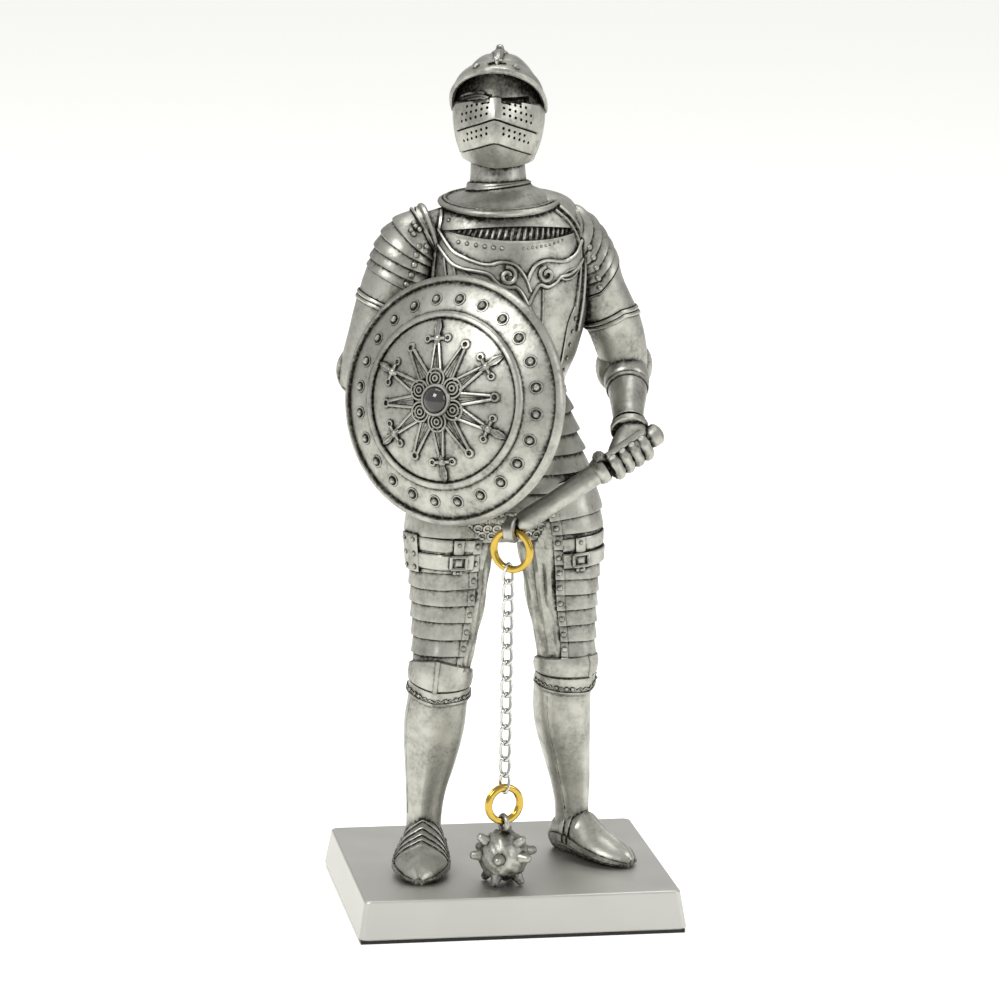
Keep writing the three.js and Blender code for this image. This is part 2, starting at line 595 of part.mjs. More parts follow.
function knight() {
  const { metal, bore } = handle();
  const leftWrist = leftForearm.centre(0.1);
  const rightWrist = rightForearm.centre(0.1);
  const gripAt = onHandle(0.79);
  const strapAt = V(-6.8, -15.2, 103.4).multiplyScalar(k);
  const raw = join([
    helmet(),
    cuirass(),
    leg(rightLeg, rightFoot, [40, 220], [39.4, 42.4, -2.0], [45.4, 78.1, 9]),
    leg(leftLeg, leftFoot, [-40, 140], [41.3, 44.2, -0.9], [44.9, 78.0, 10]),
    arm(rightArm, rightForearm, [30, 270], 117.8, [123.8, 133.3, 5], 135, [[0, 0.6], [0.25, 0.6], [0.25, 0], [3, 0]]),
    arm(leftArm, leftForearm, [-90, 150], 116.2, [124.5, 134, 5], 138.5, [
      [0, 0.7], [0.35, 0.7], [0.35, 0], [1.3, 0], [2.1, 0], [2.1, 0.9], [2.35, 0.9], [2.35, 0], [3, 0],
    ]),
    metal,
    fist({ centre: gripAt, along: HANDLE, wrist: leftWrist, grip: 1.5 * k, up: V(0, -0.8, 0.6) }),
    fist({ centre: strapAt, along: V(0.1, 0.12, 1), wrist: rightWrist, grip: 1.0 * k, up: SHIELD_NORMAL }),
  ]).subtract(bore);
  return cast(raw.translate([0, 0, PLINTH_TOP]).trimByPlane([0, 0, 1], PLINTH_TOP), 0.15);
}

// Shield frame: right and up lie in the plane of the rim, and the normal points out of the face.
const SHIELD_NORMAL = V(-0.626, -0.763, 0.159).normalize();
const SHIELD_RIGHT = V(-SHIELD_NORMAL.y, SHIELD_NORMAL.x, 0).normalize();
const SHIELD_UP = SHIELD_NORMAL.clone().cross(SHIELD_RIGHT).normalize();
const SHIELD_CENTRE = V(-15.3, -20.7, 102.5).multiplyScalar(k).setZ(102.5 * k + PLINTH_TOP);
const SHIELD_ROLL = deg(8.6);
const SHIELD_RADIUS = SHIELD_DIAMETER / 2;
const DOME_RADIUS = (SHIELD_RADIUS ** 2 + SHIELD_RISE ** 2) / (2 * SHIELD_RISE);
const domeHeight = (r) => Math.sqrt(Math.max(0, DOME_RADIUS ** 2 - r * r)) - (DOME_RADIUS - SHIELD_RISE);

function onShield(x, y, height) {
  const [c, s] = [Math.cos(SHIELD_ROLL), Math.sin(SHIELD_ROLL)];
  return SHIELD_CENTRE.clone()
    .addScaledVector(SHIELD_RIGHT, x * c - y * s)
    .addScaledVector(SHIELD_UP, x * s + y * c)
    .addScaledVector(SHIELD_NORMAL, height);
}

// A flat outline raised on the dome.
function relief(outline, lift = SHIELD_RELIEF) {
  const flat = outline.map(([x, y]) => new THREE.Vector2(x, y));
  const n = flat.length;
  const faces = THREE.ShapeUtils.triangulateShape(flat, []);
  const layer = (over) => flat.map((p) => onShield(p.x, p.y, domeHeight(p.length()) + over));
  const points = [...layer(lift), ...layer(-SHIELD_WALL / 2)];
  const triangles = faces.flatMap(([a, b, c]) => [a, b, c, c + n, b + n, a + n]);
  for (let i = 0; i < n; i++) {
    const j = (i + 1) % n;
    triangles.push(i, i + n, j + n, i, j + n, j);
  }
  return solid(points, triangles);
}

const polar = (r, a) => [r * Math.cos(a), r * Math.sin(a)];

function shield() {
  const sides = 28;
  const inner = SHIELD_RADIUS - SHIELD_RIM_WIDTH;
  const field = SHIELD_RADIUS * 0.7;
  const profile = [
    [0.01, domeHeight(0)], [field * 0.55, domeHeight(field * 0.55)], [field - 0.8, domeHeight(field - 0.8)],
    [field - 0.8, domeHeight(field) + SHIELD_RELIEF], [field, domeHeight(field) + SHIELD_RELIEF],
    [field, domeHeight(field)], [inner, domeHeight(inner)], [inner, domeHeight(inner) + SHIELD_RELIEF],
    [SHIELD_RADIUS - 0.3, SHIELD_RELIEF], [SHIELD_RADIUS, 0.1], [SHIELD_RADIUS - 0.2, -SHIELD_WALL * 0.8],
    [field, domeHeight(field) - SHIELD_WALL], [field * 0.55, domeHeight(field * 0.55) - SHIELD_WALL],
    [0.01, domeHeight(0) - SHIELD_WALL],
  ];
  const loops = profile.map(([r, h]) => steps(sides).map((i) => onShield(...polar(r, (TAU * i) / sides), h)));
  const parts = [skin(loops)];
  const rivetAt = mix(field, inner, 0.46);
  for (const i of steps(SHIELD_RIVETS)) {
    const [x, y] = polar(rivetAt, (TAU * (i + 0.3)) / SHIELD_RIVETS);
    parts.push(turned(onShield(x, y, domeHeight(rivetAt) - 0.3), SHIELD_NORMAL, [[0, 0.85], [0.95, 0.45]], 4));
  }
  for (const i of steps(12)) {
    const turn = TAU / 4 + (TAU * i) / 12;
    parts.push(i % 2 ? ray(turn, field) : sword(turn, field));
  }
  const petalAt = STONE_DIAMETER / 2 + 1.3;
  const rosette = steps(18).map((j) => {
    const a = (TAU * (j + 1.5)) / 18;
    return polar(petalAt + 1.1 + 0.9 * Math.cos(6 * (a - TAU / 4)), a);
  });
  parts.push(relief(rosette, SHIELD_RELIEF * 1.6));
  const pocket = turned(onShield(0, 0, domeHeight(0) + STONE_FLOOR), SHIELD_NORMAL, [
    [0, STONE_DIAMETER / 2 + 0.1], [4, STONE_DIAMETER / 2 + 0.1],
  ], 16);
  return cast(join(parts).subtract(pocket).add(braces()), 0.1);
}

const STONE_FLOOR = -0.2;

// Dagger pointing inward: blade, guard and grip, drawn along the angle a.
function sword(a, field) {
  const along = (r, side) => {
    const [x, y] = polar(r, a);
    const [tx, ty] = polar(side, a + TAU / 4);
    return [x + tx, y + ty];
  };
  const [tip, guard, end] = [0.3 * field, 0.72 * field, 0.955 * field];
  const outline = [
    along(tip, 1.1), along(guard - 0.6, 0.6), along(guard - 0.9, 2.4), along(guard + 0.5, 2.7),
    along(guard + 0.5, 0.7), along(end, 0.5),
  ];
  const mirrored = outline.map((_, i) => outline[outline.length - 1 - i]).map(([x, y]) => {
    const [c, s] = [Math.cos(2 * a), Math.sin(2 * a)];
    return [x * c + y * s, x * s - y * c];
  });
  return relief([...outline, ...mirrored].reverse());
}

// Plain ray with a round end.
function ray(a, field) {
  const [root, tip] = [0.28 * field, 0.78 * field];
  const side = (r, w) => {
    const [x, y] = polar(r, a);
    const [tx, ty] = polar(w, a + TAU / 4);
    return [x + tx, y + ty];
  };
  return relief([side(root, -1.2), side(tip, -0.5), side(tip + 1, 0), side(tip, 0.5), side(root, 1.2)]);
}

// Two arm braces on the back of the shield: one round the forearm, and a grip bar in the fist.
function braces() {
  const lift = V(0, 0, PLINTH_TOP);
  const at = rightForearm.centre(1.75).add(lift);
  const [side, up, w] = rightForearm.frame(1.75);
  const loop = (grow) =>
    steps(10).map((i) => {
      const [, , , , width, fore, back] = rightForearm.value(1.75);
      const a = (TAU * i) / 10;
      const depth = Math.sin(a) > 0 ? fore : back;
      return at.clone()
        .addScaledVector(side, (width * 1.08 + grow) * Math.cos(a))
        .addScaledVector(up, (depth * 1.08 + grow) * Math.sin(a));
    });
  const shifted = (points, t) => points.map((p) => p.clone().addScaledVector(w, t));
  const strapWidth = 4.2;
  const outer = loop(SEAT_CLEARANCE + 0.9);
  const strap = skin([shifted(outer, -strapWidth / 2), shifted(outer, strapWidth / 2)])
    .subtract(skin([shifted(loop(SEAT_CLEARANCE), -strapWidth), shifted(loop(SEAT_CLEARANCE), strapWidth)]));
  const toShield = (p) => {
    const local = p.clone().sub(SHIELD_CENTRE);
    const [x, y] = [local.dot(SHIELD_RIGHT), local.dot(SHIELD_UP)];
    const c = Math.cos(SHIELD_ROLL);
    const s = Math.sin(SHIELD_ROLL);
    return [x * c + y * s, -x * s + y * c];
  };
  const [px, py] = toShield(at);
  const arm = rightForearm.core(0, 3, 4, 10, SEAT_CLEARANCE * 1.5).translate([0, 0, PLINTH_TOP]);
  const backAt = domeHeight(Math.hypot(px, py)) - SHIELD_WALL / 2;
  const root = onShield(px, py, backAt);
  const stand = rod([root, at], [3.4, 2.6], 8).subtract(arm);
  return stand.add(strap);
}

function stone() {
  const r = STONE_DIAMETER / 2;
  const floor = domeHeight(0) + STONE_FLOOR + 0.05;
  const rings = steps(4).map((i) => {
    const a = (TAU / 4) * (i / 4);
    return [0.5 + STONE_RISE * Math.sin(a), r * Math.cos(a)];
  });
  return turned(onShield(0, 0, floor), SHIELD_NORMAL, [[0, r], ...rings], 14);
}

// Each ring and link hangs from the one above it with RUNNING_GAP of play.
const EYE_WORLD = EYE_AT.clone().setZ(EYE_AT.z + PLINTH_TOP);
const ringRadius = (RING_DIAMETER - RING_WIRE) / 2;
const lowerRadius = (LOWER_RING_DIAMETER - RING_WIRE) / 2;
const boreSag = ringRadius - Math.sqrt(ringRadius ** 2 - (EYE_THICKNESS / 2) ** 2);
const ringTop = EYE_WORLD.z - EYE_HOLE / 2 + RING_WIRE / 2 + boreSag + RUNNING_GAP;
const UPPER_RING_AT = EYE_WORLD.clone().setZ(ringTop - ringRadius);
// Friction holds the chain a little to one side of the lowest point of the ring.
const CHAIN_ASIDE = -0.7;
const CHAIN_AT = UPPER_RING_AT.clone().addScaledVector(EYE_AXIS, CHAIN_ASIDE);
const CHAIN_TOP = UPPER_RING_AT.z - ringRadius + RING_WIRE / 2 + RUNNING_GAP;
const LOOP_HOLE = 2.2;
const LOOP_WALL = 1.1;
const BALL_RADIUS = BALL_DIAMETER / 2;
const SPIKE_DOWN = deg(52);
const loopCentre = BALL_RADIUS + LOOP_HOLE / 2 + 0.7;
const HANGER = loopCentre + LOOP_HOLE / 2 - RING_WIRE / 2 - RUNNING_GAP + lowerRadius;
const BALL_Z = PLINTH_TOP + BALL_DROP_GAP + (BALL_RADIUS + SPIKE_LENGTH) * Math.sin(SPIKE_DOWN) + 0.3;
const LOWER_RING_Z = BALL_Z + HANGER;
const CHAIN_DROP = CHAIN_TOP - (LOWER_RING_Z + lowerRadius - RING_WIRE / 2 - RUNNING_GAP);
const CHAIN_LINKS = Math.round(CHAIN_DROP / LINK_NOMINAL_PITCH);
const LINK_PITCH = CHAIN_DROP / CHAIN_LINKS;

function ringAt(at, radius, turn) {
  const flat = V(Math.cos(turn), Math.sin(turn), 0);
  const up = V(0, 0, 1);
  const side = flat.clone().cross(up);
  return wireRing(
    (a) => at.clone().addScaledVector(flat, radius * Math.cos(a)).addScaledVector(up, radius * Math.sin(a)),
    (a) => [flat.clone().multiplyScalar(Math.cos(a)).addScaledVector(up, Math.sin(a)), side],
    RING_WIRE, 14, 5,
  );
}

// A curb link: an oval of wire twisted by a quarter turn from end to end, so that all links face one way.
function link(top, turn) {
  const half = (LINK_PITCH + LINK_WIRE) / 2;
  const centre = V(CHAIN_AT.x, CHAIN_AT.y, top - LINK_PITCH / 2);
  const wide = (LINK_WIDTH - LINK_WIRE) / 2;
  const straight = half - wide;
  const middle = (a) => {
    const z = wide * Math.sin(a) + straight * Math.tanh(3 * Math.sin(a));
    const twist = turn + (TAU / 8) * (z / half);
    const x = wide * Math.cos(a);
    return centre.clone().add(V(x * Math.cos(twist), x * Math.sin(twist), z));
  };
  const frameAt = (a) => {
    const w = middle(a + 0.05).sub(middle(a - 0.05)).normalize();
    const out = middle(a).sub(centre);
    out.addScaledVector(w, -out.dot(w)).normalize();
    return [out, w.clone().cross(out)];
  };
  return wireRing(middle, frameAt, LINK_WIRE, 8, 3);
}

function ball() {
  const at = V(CHAIN_AT.x, CHAIN_AT.y, BALL_Z);
  const globe = turned(at, V(0, 0, 1), steps(7).map((i) => {
    const a = deg(mix(-80, 80, i / 6));
    return [BALL_RADIUS * Math.sin(a), BALL_RADIUS * Math.cos(a)];
  }), 10);
  const spikes = [];
  for (const [count, rise, start] of [[6, deg(4), deg(10)], [4, -SPIKE_DOWN, deg(55)], [3, deg(40), deg(70)]])
    for (const i of steps(count)) {
      const a = start + (TAU * i) / count;
      const dir = V(Math.cos(a) * Math.cos(rise), Math.sin(a) * Math.cos(rise), Math.sin(rise));
      spikes.push(turned(at, dir, [
        [BALL_RADIUS * 0.8, SPIKE_DIAMETER / 2], [BALL_RADIUS + SPIKE_LENGTH, SPIKE_DIAMETER * 0.3],
      ], 4));
    }
  const loopAt = at.clone().setZ(at.z + loopCentre);
  const [out, , axis] = axes(LOWER_AXIS);
  const eyeRing = wireRing(
    (a) => loopAt.clone().addScaledVector(out, (LOOP_HOLE + LOOP_WALL) / 2 * Math.cos(a))
      .add(V(0, 0, (LOOP_HOLE + LOOP_WALL) / 2 * Math.sin(a))),
    (a) => [out.clone().multiplyScalar(Math.cos(a)).add(V(0, 0, Math.sin(a))), axis.clone()],
    LOOP_WALL, 10, 4,
  );
  return cast(join([globe, ...spikes, eyeRing]), 0.08);
}

const LOWER_TURN = deg(16);
// The ends of a link lie across the ring they hang from, so the chain turns a little on its way down.
const LINK_TURN_TOP = UPPER_TURN + TAU / 8;
const LINK_TURN_LOW = LOWER_TURN - TAU / 8;
const LOWER_AXIS = V(Math.cos(LOWER_TURN), Math.sin(LOWER_TURN), 0);

// Plinth

function frustum(width, depth, low, high, inset) {
  const loop = (shrink, z) =>
    [[1, 1], [-1, 1], [-1, -1], [1, -1]].map(([x, y]) => V(x * (width / 2 - shrink), y * (depth / 2 - shrink), z));
  return skin([loop(0, low), ...inset.map(([shrink, z]) => loop(shrink, z))].filter((l) => l[0].z <= high));
}

const plinth = () =>
  frustum(PLINTH_WIDTH, PLINTH_DEPTH, PAD_THICKNESS, PLINTH_TOP, [
    [PLINTH_BATTER - PLINTH_EDGE * 0.4, PLINTH_TOP - PLINTH_EDGE],
    [PLINTH_BATTER, PLINTH_TOP - PLINTH_EDGE * 0.3],
    [PLINTH_BATTER + PLINTH_EDGE, PLINTH_TOP],
  ]);

const pad = () =>
  frustum(PLINTH_WIDTH - 2 * PAD_INSET, PLINTH_DEPTH - 2 * PAD_INSET, 0, PAD_THICKNESS, [[0, PAD_THICKNESS]]);

// The finished statue

const pewter = new THREE.MeshStandardMaterial({ color: 0xa9a8a1, roughness: 0.42, metalness: 0.9 });
const polished = new THREE.MeshStandardMaterial({ color: 0xb5b4ae, roughness: 0.25, metalness: 0.9 });
const brass = new THREE.MeshStandardMaterial({ color: 0xd9ae3f, roughness: 0.2, metalness: 1 });
const steel = new THREE.MeshStandardMaterial({ color: 0xc9c9c6, roughness: 0.2, metalness: 1 });
const darkStone = new THREE.MeshStandardMaterial({ color: 0x4a4a4a, roughness: 0.12, metalness: 0.3 });
const felt = new THREE.MeshStandardMaterial({ color: 0x1c1c1c, roughness: 0.95, metalness: 0 });

const statue = new THREE.Group();

function place(name, made, material) {
  const mesh = made.getMesh();
  const stride = mesh.numProp;
  const count = mesh.vertProperties.length / stride;
  const position = new Float32Array(count * 3);
  for (let i = 0; i < count; i++)
    for (let j = 0; j < 3; j++) position[i * 3 + j] = mesh.vertProperties[i * stride + j];
  const geometry = new THREE.BufferGeometry().setAttribute("position", new THREE.BufferAttribute(position, 3));
  geometry.setIndex(Array.from(mesh.triVerts));
  const placed = new THREE.Mesh(geometry, material);
  placed.name = name;
  statue.add(placed);
}

place("base_pad", pad(), felt);
place("plinth", plinth(), polished);
place("knight", knight(), pewter);
place("shield", shield(), pewter);
place("shield_stone", stone(), darkStone);
place("upper_ring", ringAt(UPPER_RING_AT, ringRadius, UPPER_TURN), brass);
for (const i of steps(CHAIN_LINKS)) {
  const name = `chain_link_${String(i + 1).padStart(2, "0")}`;
  place(name, link(CHAIN_TOP - i * LINK_PITCH, mix(LINK_TURN_TOP, LINK_TURN_LOW, i / (CHAIN_LINKS - 1))), steel);
}
place("lower_ring", ringAt(CHAIN_AT.clone().setZ(LOWER_RING_Z), lowerRadius, LOWER_TURN), brass);
place("flail_ball", ball(), pewter);

export default statue;
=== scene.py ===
"""A small pewter statue of a knight in full plate armour, with a round shield and a flail, on its plinth."""
import math

import bmesh
import bpy
import numpy as np
from mathutils import Matrix, Vector


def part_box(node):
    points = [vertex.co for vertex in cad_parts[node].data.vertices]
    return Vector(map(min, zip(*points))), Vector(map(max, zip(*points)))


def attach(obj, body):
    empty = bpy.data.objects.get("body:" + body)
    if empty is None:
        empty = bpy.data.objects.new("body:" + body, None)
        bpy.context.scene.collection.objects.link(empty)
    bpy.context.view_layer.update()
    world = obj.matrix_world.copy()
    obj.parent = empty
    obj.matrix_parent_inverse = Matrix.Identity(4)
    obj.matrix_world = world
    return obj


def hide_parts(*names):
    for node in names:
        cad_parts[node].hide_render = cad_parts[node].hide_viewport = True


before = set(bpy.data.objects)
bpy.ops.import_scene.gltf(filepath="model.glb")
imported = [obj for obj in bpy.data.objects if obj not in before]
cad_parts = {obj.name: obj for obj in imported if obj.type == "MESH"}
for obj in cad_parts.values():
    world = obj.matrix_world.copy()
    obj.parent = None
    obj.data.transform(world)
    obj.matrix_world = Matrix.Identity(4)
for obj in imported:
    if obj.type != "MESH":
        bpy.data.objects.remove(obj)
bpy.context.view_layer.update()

# The camera: a long lens about 0.83 m in front of the statue, a little to the knight's right and a little
# above, where the photograph was taken from.
IMAGE_WIDTH = 999
FOCAL_IN_PIXELS = 4000
SENSOR_WIDTH = 36
CAMERA_AT = Vector((-0.14309, -0.79943, 0.25723))
CAMERA_YAW = math.radians(10.02)
CAMERA_PITCH = math.radians(11.885)
CAMERA_ROLL = math.radians(1.0)

camera_data = bpy.data.cameras.new("camera")
camera_data.sensor_width = SENSOR_WIDTH
camera_data.lens = FOCAL_IN_PIXELS * SENSOR_WIDTH / IMAGE_WIDTH
camera_data.clip_start = 0.05
camera_data.clip_end = 50
camera = bpy.data.objects.new("camera", camera_data)
bpy.context.scene.collection.objects.link(camera)
level_side = Vector((math.cos(CAMERA_YAW), -math.sin(CAMERA_YAW), 0))
looking = Vector((
    math.sin(CAMERA_YAW) * math.cos(CAMERA_PITCH),
    math.cos(CAMERA_YAW) * math.cos(CAMERA_PITCH),
    -math.sin(CAMERA_PITCH),
))
level_up = level_side.cross(looking)
camera_side = level_side * math.cos(CAMERA_ROLL) + level_up * math.sin(CAMERA_ROLL)
camera_up = level_up * math.cos(CAMERA_ROLL) - level_side * math.sin(CAMERA_ROLL)
camera.matrix_world = Matrix.Translation(CAMERA_AT) @ Matrix(
    (camera_side, camera_up, -looking)
).transposed().to_4x4()
bpy.context.scene.camera = camera

# The pad: a thin sheet of black felt under the plinth, cut a little smaller than it and glued on.
MM = 0.001


def linear(hex_colour):
    """An sRGB hex colour as linear light."""
    channels = [int(hex_colour[i:i + 2], 16) / 255 for i in (1, 3, 5)]
    return [c / 12.92 if c <= 0.04045 else ((c + 0.055) / 1.055) ** 2.4 for c in channels] + [1.0]


def add_node(tree, kind, inputs=None, **settings):
    """Adds a node. Each input is given as a value or as the output that feeds it."""
    made = tree.nodes.new("ShaderNode" + kind)
    for name, value in settings.items():
        setattr(made, name, value)
    for name, value in (inputs or {}).items():
        if isinstance(value, bpy.types.NodeSocket):
            tree.links.new(value, made.inputs[name])
        else:
            made.inputs[name].default_value = value
    return made


def new_material(name):
    """An empty material: its node tree, its output and its surface coordinates in metres."""
    made = bpy.data.materials.new(name)
    made.use_nodes = True
    tree = made.node_tree
    tree.nodes.clear()
    output = add_node(tree, "OutputMaterial")
    place = add_node(tree, "TexCoord").outputs["Object"]
    return made, tree, output.inputs["Surface"], place


def clouds_of(tree, place, size, detail, roughness=0.5):
    """Noise whose clouds are about size millimetres across."""
    return add_node(tree, "TexNoise", {
        "Vector": place, "Scale": 1 / (size * MM), "Detail": detail, "Roughness": roughness,
    }).outputs["Fac"]


def blend(tree, share, low, high):
    """A colour between two hex colours."""
    return add_node(tree, "Mix", {0: share, 6: linear(low), 7: linear(high)}, data_type="RGBA").outputs[2]


def bumps(tree, height, strength, depth, **under):
    """Relief too fine for the mesh, depth millimetres deep."""
    inputs = {"Height": height, "Strength": strength, "Distance": depth * MM, **under}
    return add_node(tree, "Bump", inputs).outputs["Normal"]


def coat_surface(tree, surface, inputs):
    """Gives the surface its shader."""
    tree.links.new(add_node(tree, "BsdfPrincipled", inputs).outputs["BSDF"], surface)


FELT_FIBRE = 0.35
felt, tree, surface, place = new_material("black_felt")
# Matt and slightly fuzzy: short fibres catch a little light along their tips.
fibres = clouds_of(tree, place, FELT_FIBRE, 4.0)
coat_surface(tree, surface, {
    "Base Color": blend(tree, fibres, "#0e0e0e", "#2a2a29"), "Roughness": 0.95, "Sheen Weight": 0.3,
    "Normal": bumps(tree, fibres, 0.6, 0.1),
})
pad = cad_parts["base_pad"]
pad.data.materials.clear()
pad.data.materials.append(felt)

# The plinth: a solid block of pewter with battered sides, its top edges rounded by the polishing wheel.
# The knight's soles are soldered to its top.
PLINTH_WIDTH = 68.4
PLINTH_DEPTH = 56.0
PLINTH_LOW = 0.8
PLINTH_TOP = 8.8
PLINTH_BATTER = 1.2
PLINTH_ROUND = 0.55
PLINTH_CORNER = 1.3
PLINTH_FOOT = 0.3
CORNER_STEPS = 8
EDGE_STEPS = 6
HAZE = 9
BUFFING = 0.5


def tube(loops):
    """A closed skin through loops of equal length, with a fan over each end."""
    loops = np.asarray(loops, float)
    rows, count, _ = loops.shape
    points = np.concatenate([loops.reshape(-1, 3), loops[:1].mean(1), loops[-1:].mean(1)])
    faces = []
    for r in range(rows - 1):
        for c in range(count):
            d = (c + 1) % count
            faces.append((r * count + c, r * count + d, (r + 1) * count + d, (r + 1) * count + c))
    low, high = rows * count, rows * count + 1
    for c in range(count):
        d = (c + 1) % count
        faces.append((d, c, low))
        faces.append(((rows - 1) * count + c, (rows - 1) * count + d, high))
    return points, faces


def make_piece(name, shells, material, crease=35):
    """One object from closed shells in millimetres, shaded smooth up to the crease angle."""
    points, faces, start = [], [], 0
    for shell_points, shell_faces in shells:
        points.append(shell_points)
        faces.extend(tuple(i + start for i in face) for face in shell_faces)
        start += len(shell_points)
    mesh = bpy.data.meshes.new(name)
    mesh.from_pydata((np.concatenate(points) * MM).tolist(), [], faces)
    built = bmesh.new()
    built.from_mesh(mesh)
    bmesh.ops.recalc_face_normals(built, faces=built.faces)
    built.to_mesh(mesh)
    built.free()
    mesh.polygons.foreach_set("use_smooth", [True] * len(mesh.polygons))
    mesh.set_sharp_from_angle(angle=math.radians(crease))
    mesh.materials.append(material)
    made = bpy.data.objects.new(name, mesh)
    bpy.context.scene.collection.objects.link(made)
    return made


def spread(tree, value, low, high, at_low, at_high):
    """Carries a value from the range low to high over to the range at_low to at_high."""
    return add_node(tree, "MapRange", {
        "Value": value, "From Min": low, "From Max": high, "To Min": at_low, "To Max": at_high,
    }).outputs[0]


def plinth_loop(inset, z):
    """A level loop round the plinth, with quarter circles at its corners."""
    half_width = PLINTH_WIDTH / 2 - inset
    half_depth = PLINTH_DEPTH / 2 - inset
    loop = []
    for quarter, (sx, sy) in enumerate([(1, 1), (-1, 1), (-1, -1), (1, -1)]):
        for i in range(CORNER_STEPS + 1):
            a = math.radians(90 * (quarter + i / CORNER_STEPS))
            loop.append((
                sx * (half_width - PLINTH_CORNER) + PLINTH_CORNER * math.cos(a),
                sy * (half_depth - PLINTH_CORNER) + PLINTH_CORNER * math.sin(a),
                z,
            ))
    return loop


polished, tree, surface, place = new_material("polished_cast_pewter")
# Bright and almost mirror-like, with a faint cloudy haze where the casting was buffed by hand.
haze = clouds_of(tree, place, HAZE, 5.0, 0.6)
rubbing = add_node(tree, "Mapping", {"Vector": place, "Scale": (0.12, 1.0, 1.0)})
strokes = clouds_of(tree, rubbing.outputs[0], BUFFING, 3.0)
coat_surface(tree, surface, {
    "Base Color": blend(tree, haze, "#cac9c3", "#d1d0ca"), "Metallic": 1.0,
    "Roughness": spread(tree, haze, 0.3, 0.7, 0.42, 0.5), "Normal": bumps(tree, strokes, 0.06, 0.05),
})

plinth_loops = [
    plinth_loop(PLINTH_FOOT, PLINTH_LOW),
    plinth_loop(0, PLINTH_LOW + PLINTH_FOOT),
]
for i in range(EDGE_STEPS + 1):
    turn = math.radians(90 * i / EDGE_STEPS)
    inset = PLINTH_BATTER + PLINTH_ROUND * (1 - math.cos(turn))
    z = PLINTH_TOP - PLINTH_ROUND * (1 - math.sin(turn))
    plinth_loops.append(plinth_loop(inset, z))
plinth = make_piece("cast_plinth", [tube(plinth_loops)], polished, 40)
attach(plinth, "root")
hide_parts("plinth")

# The knight: one casting in pewter, dipped in a dark patina and rubbed back, so that the high places are
# bright and every groove stays dark. Each limb is a tube along a path, and its armour stands proud of it.


def unit(way):
    way = np.asarray(way, float)
    return way / np.linalg.norm(way)


def circle(u, v, sides):
    """Places round a circle or an oval whose half axes are u and v."""
    turns = np.arange(sides) * 2 * math.pi / sides
    return np.cos(turns)[:, None] * u + np.sin(turns)[:, None] * v


def ring_skin(points, around, sides):
    """The skin of a closed ring, from its sections in turn."""
    faces = []
    for i in range(around):
        for j in range(sides):
            a, b = i * sides + j, i * sides + (j + 1) % sides
            c, d = ((i + 1) % around) * sides + j, ((i + 1) % around) * sides + (j + 1) % sides
            faces.append((a, b, d, c))
    return np.array(points), faces


class Limb:
    """Stations are [s, x, y, z, half-width, front depth, back depth, keel]. Angle 90 is the front's middle."""

    def __init__(self, front, stations):
        self.front = np.array(front, float)
        self.rows = np.array(stations, float)
        self.low = self.rows[0, 0]
        self.high = self.rows[-1, 0]

    def value(self, s):
        """The station at s, on a smooth curve through the given ones."""
        s = np.asarray(s, float)
        rows = self.rows
        i = np.clip(np.searchsorted(rows[:, 0], s, side="left"), 1, len(rows) - 1)
        p, q = rows[i - 1], rows[i]
        before, after = rows[np.maximum(0, i - 2)], rows[np.minimum(len(rows) - 1, i + 1)]
        span = q[..., :1] - p[..., :1]
        t = np.clip((s[..., None] - p[..., :1]) / span, 0, 1)
        slope_p = (q - before) / (q[..., :1] - before[..., :1]) * span
        slope_q = (after - p) / (after[..., :1] - p[..., :1]) * span
        t2, t3 = t * t, t * t * t
        ends = (2 * t3 - 3 * t2 + 1) * p + (3 * t2 - 2 * t3) * q
        return ends + (t3 - 2 * t2 + t) * slope_p + (t3 - t2) * slope_q

    def frame(self, s):
        """The limb's side, front and length at s, as unit vectors."""
        s = np.asarray(s, float)
        h = (self.high - self.low) * 0.01
        after, before = self.value(np.minimum(self.high, s + h)), self.value(np.maximum(self.low, s - h))
        along = (after - before)[..., 1:4]
        along /= np.linalg.norm(along, axis=-1, keepdims=True)
        ahead = self.front - (along @ self.front)[..., None] * along
        ahead /= np.linalg.norm(ahead, axis=-1, keepdims=True)
        return np.cross(along, ahead), ahead, along

    def bare(self, s, turn):
        """A place on the limb without its armour. The keel pinches the front to a ridge."""
        s, turn = np.broadcast_arrays(np.asarray(s, float), np.asarray(turn, float))
        v = self.value(s)
        side, ahead, _ = self.frame(s)
        c, d = np.cos(turn), np.sin(turn)
        keel = v[..., 7]
        depth = np.where(d > 0, v[..., 5] * ((1 - keel) * d + keel * (1 - np.abs(c))), v[..., 6] * d)
        return v[..., 1:4] + side * (v[..., 4] * c)[..., None] + ahead * depth[..., None]

    def normal(self, s, turn):
        h = (self.high - self.low) * 0.004
        along = self.bare(np.minimum(self.high, s + h), turn) - self.bare(np.maximum(self.low, s - h), turn)
        n = np.cross(along, self.bare(s, turn + 0.03) - self.bare(s, turn - 0.03))
        return n / np.maximum(np.linalg.norm(n, axis=-1, keepdims=True), 1e-9)

    def at(self, s, angle, lift=0.0):
        """A place that stands over the limb by lift, with its angle in degrees."""
        s, turn, lift = np.broadcast_arrays(
            np.asarray(s, float), np.radians(np.asarray(angle, float)), np.asarray(lift, float)
        )
        return self.bare(s, turn) + self.normal(s, turn) * lift[..., None]


def facing(turn):
    return (math.sin(math.radians(turn)), -math.cos(math.radians(turn)), 0)


BORDER_GAP = 1.2


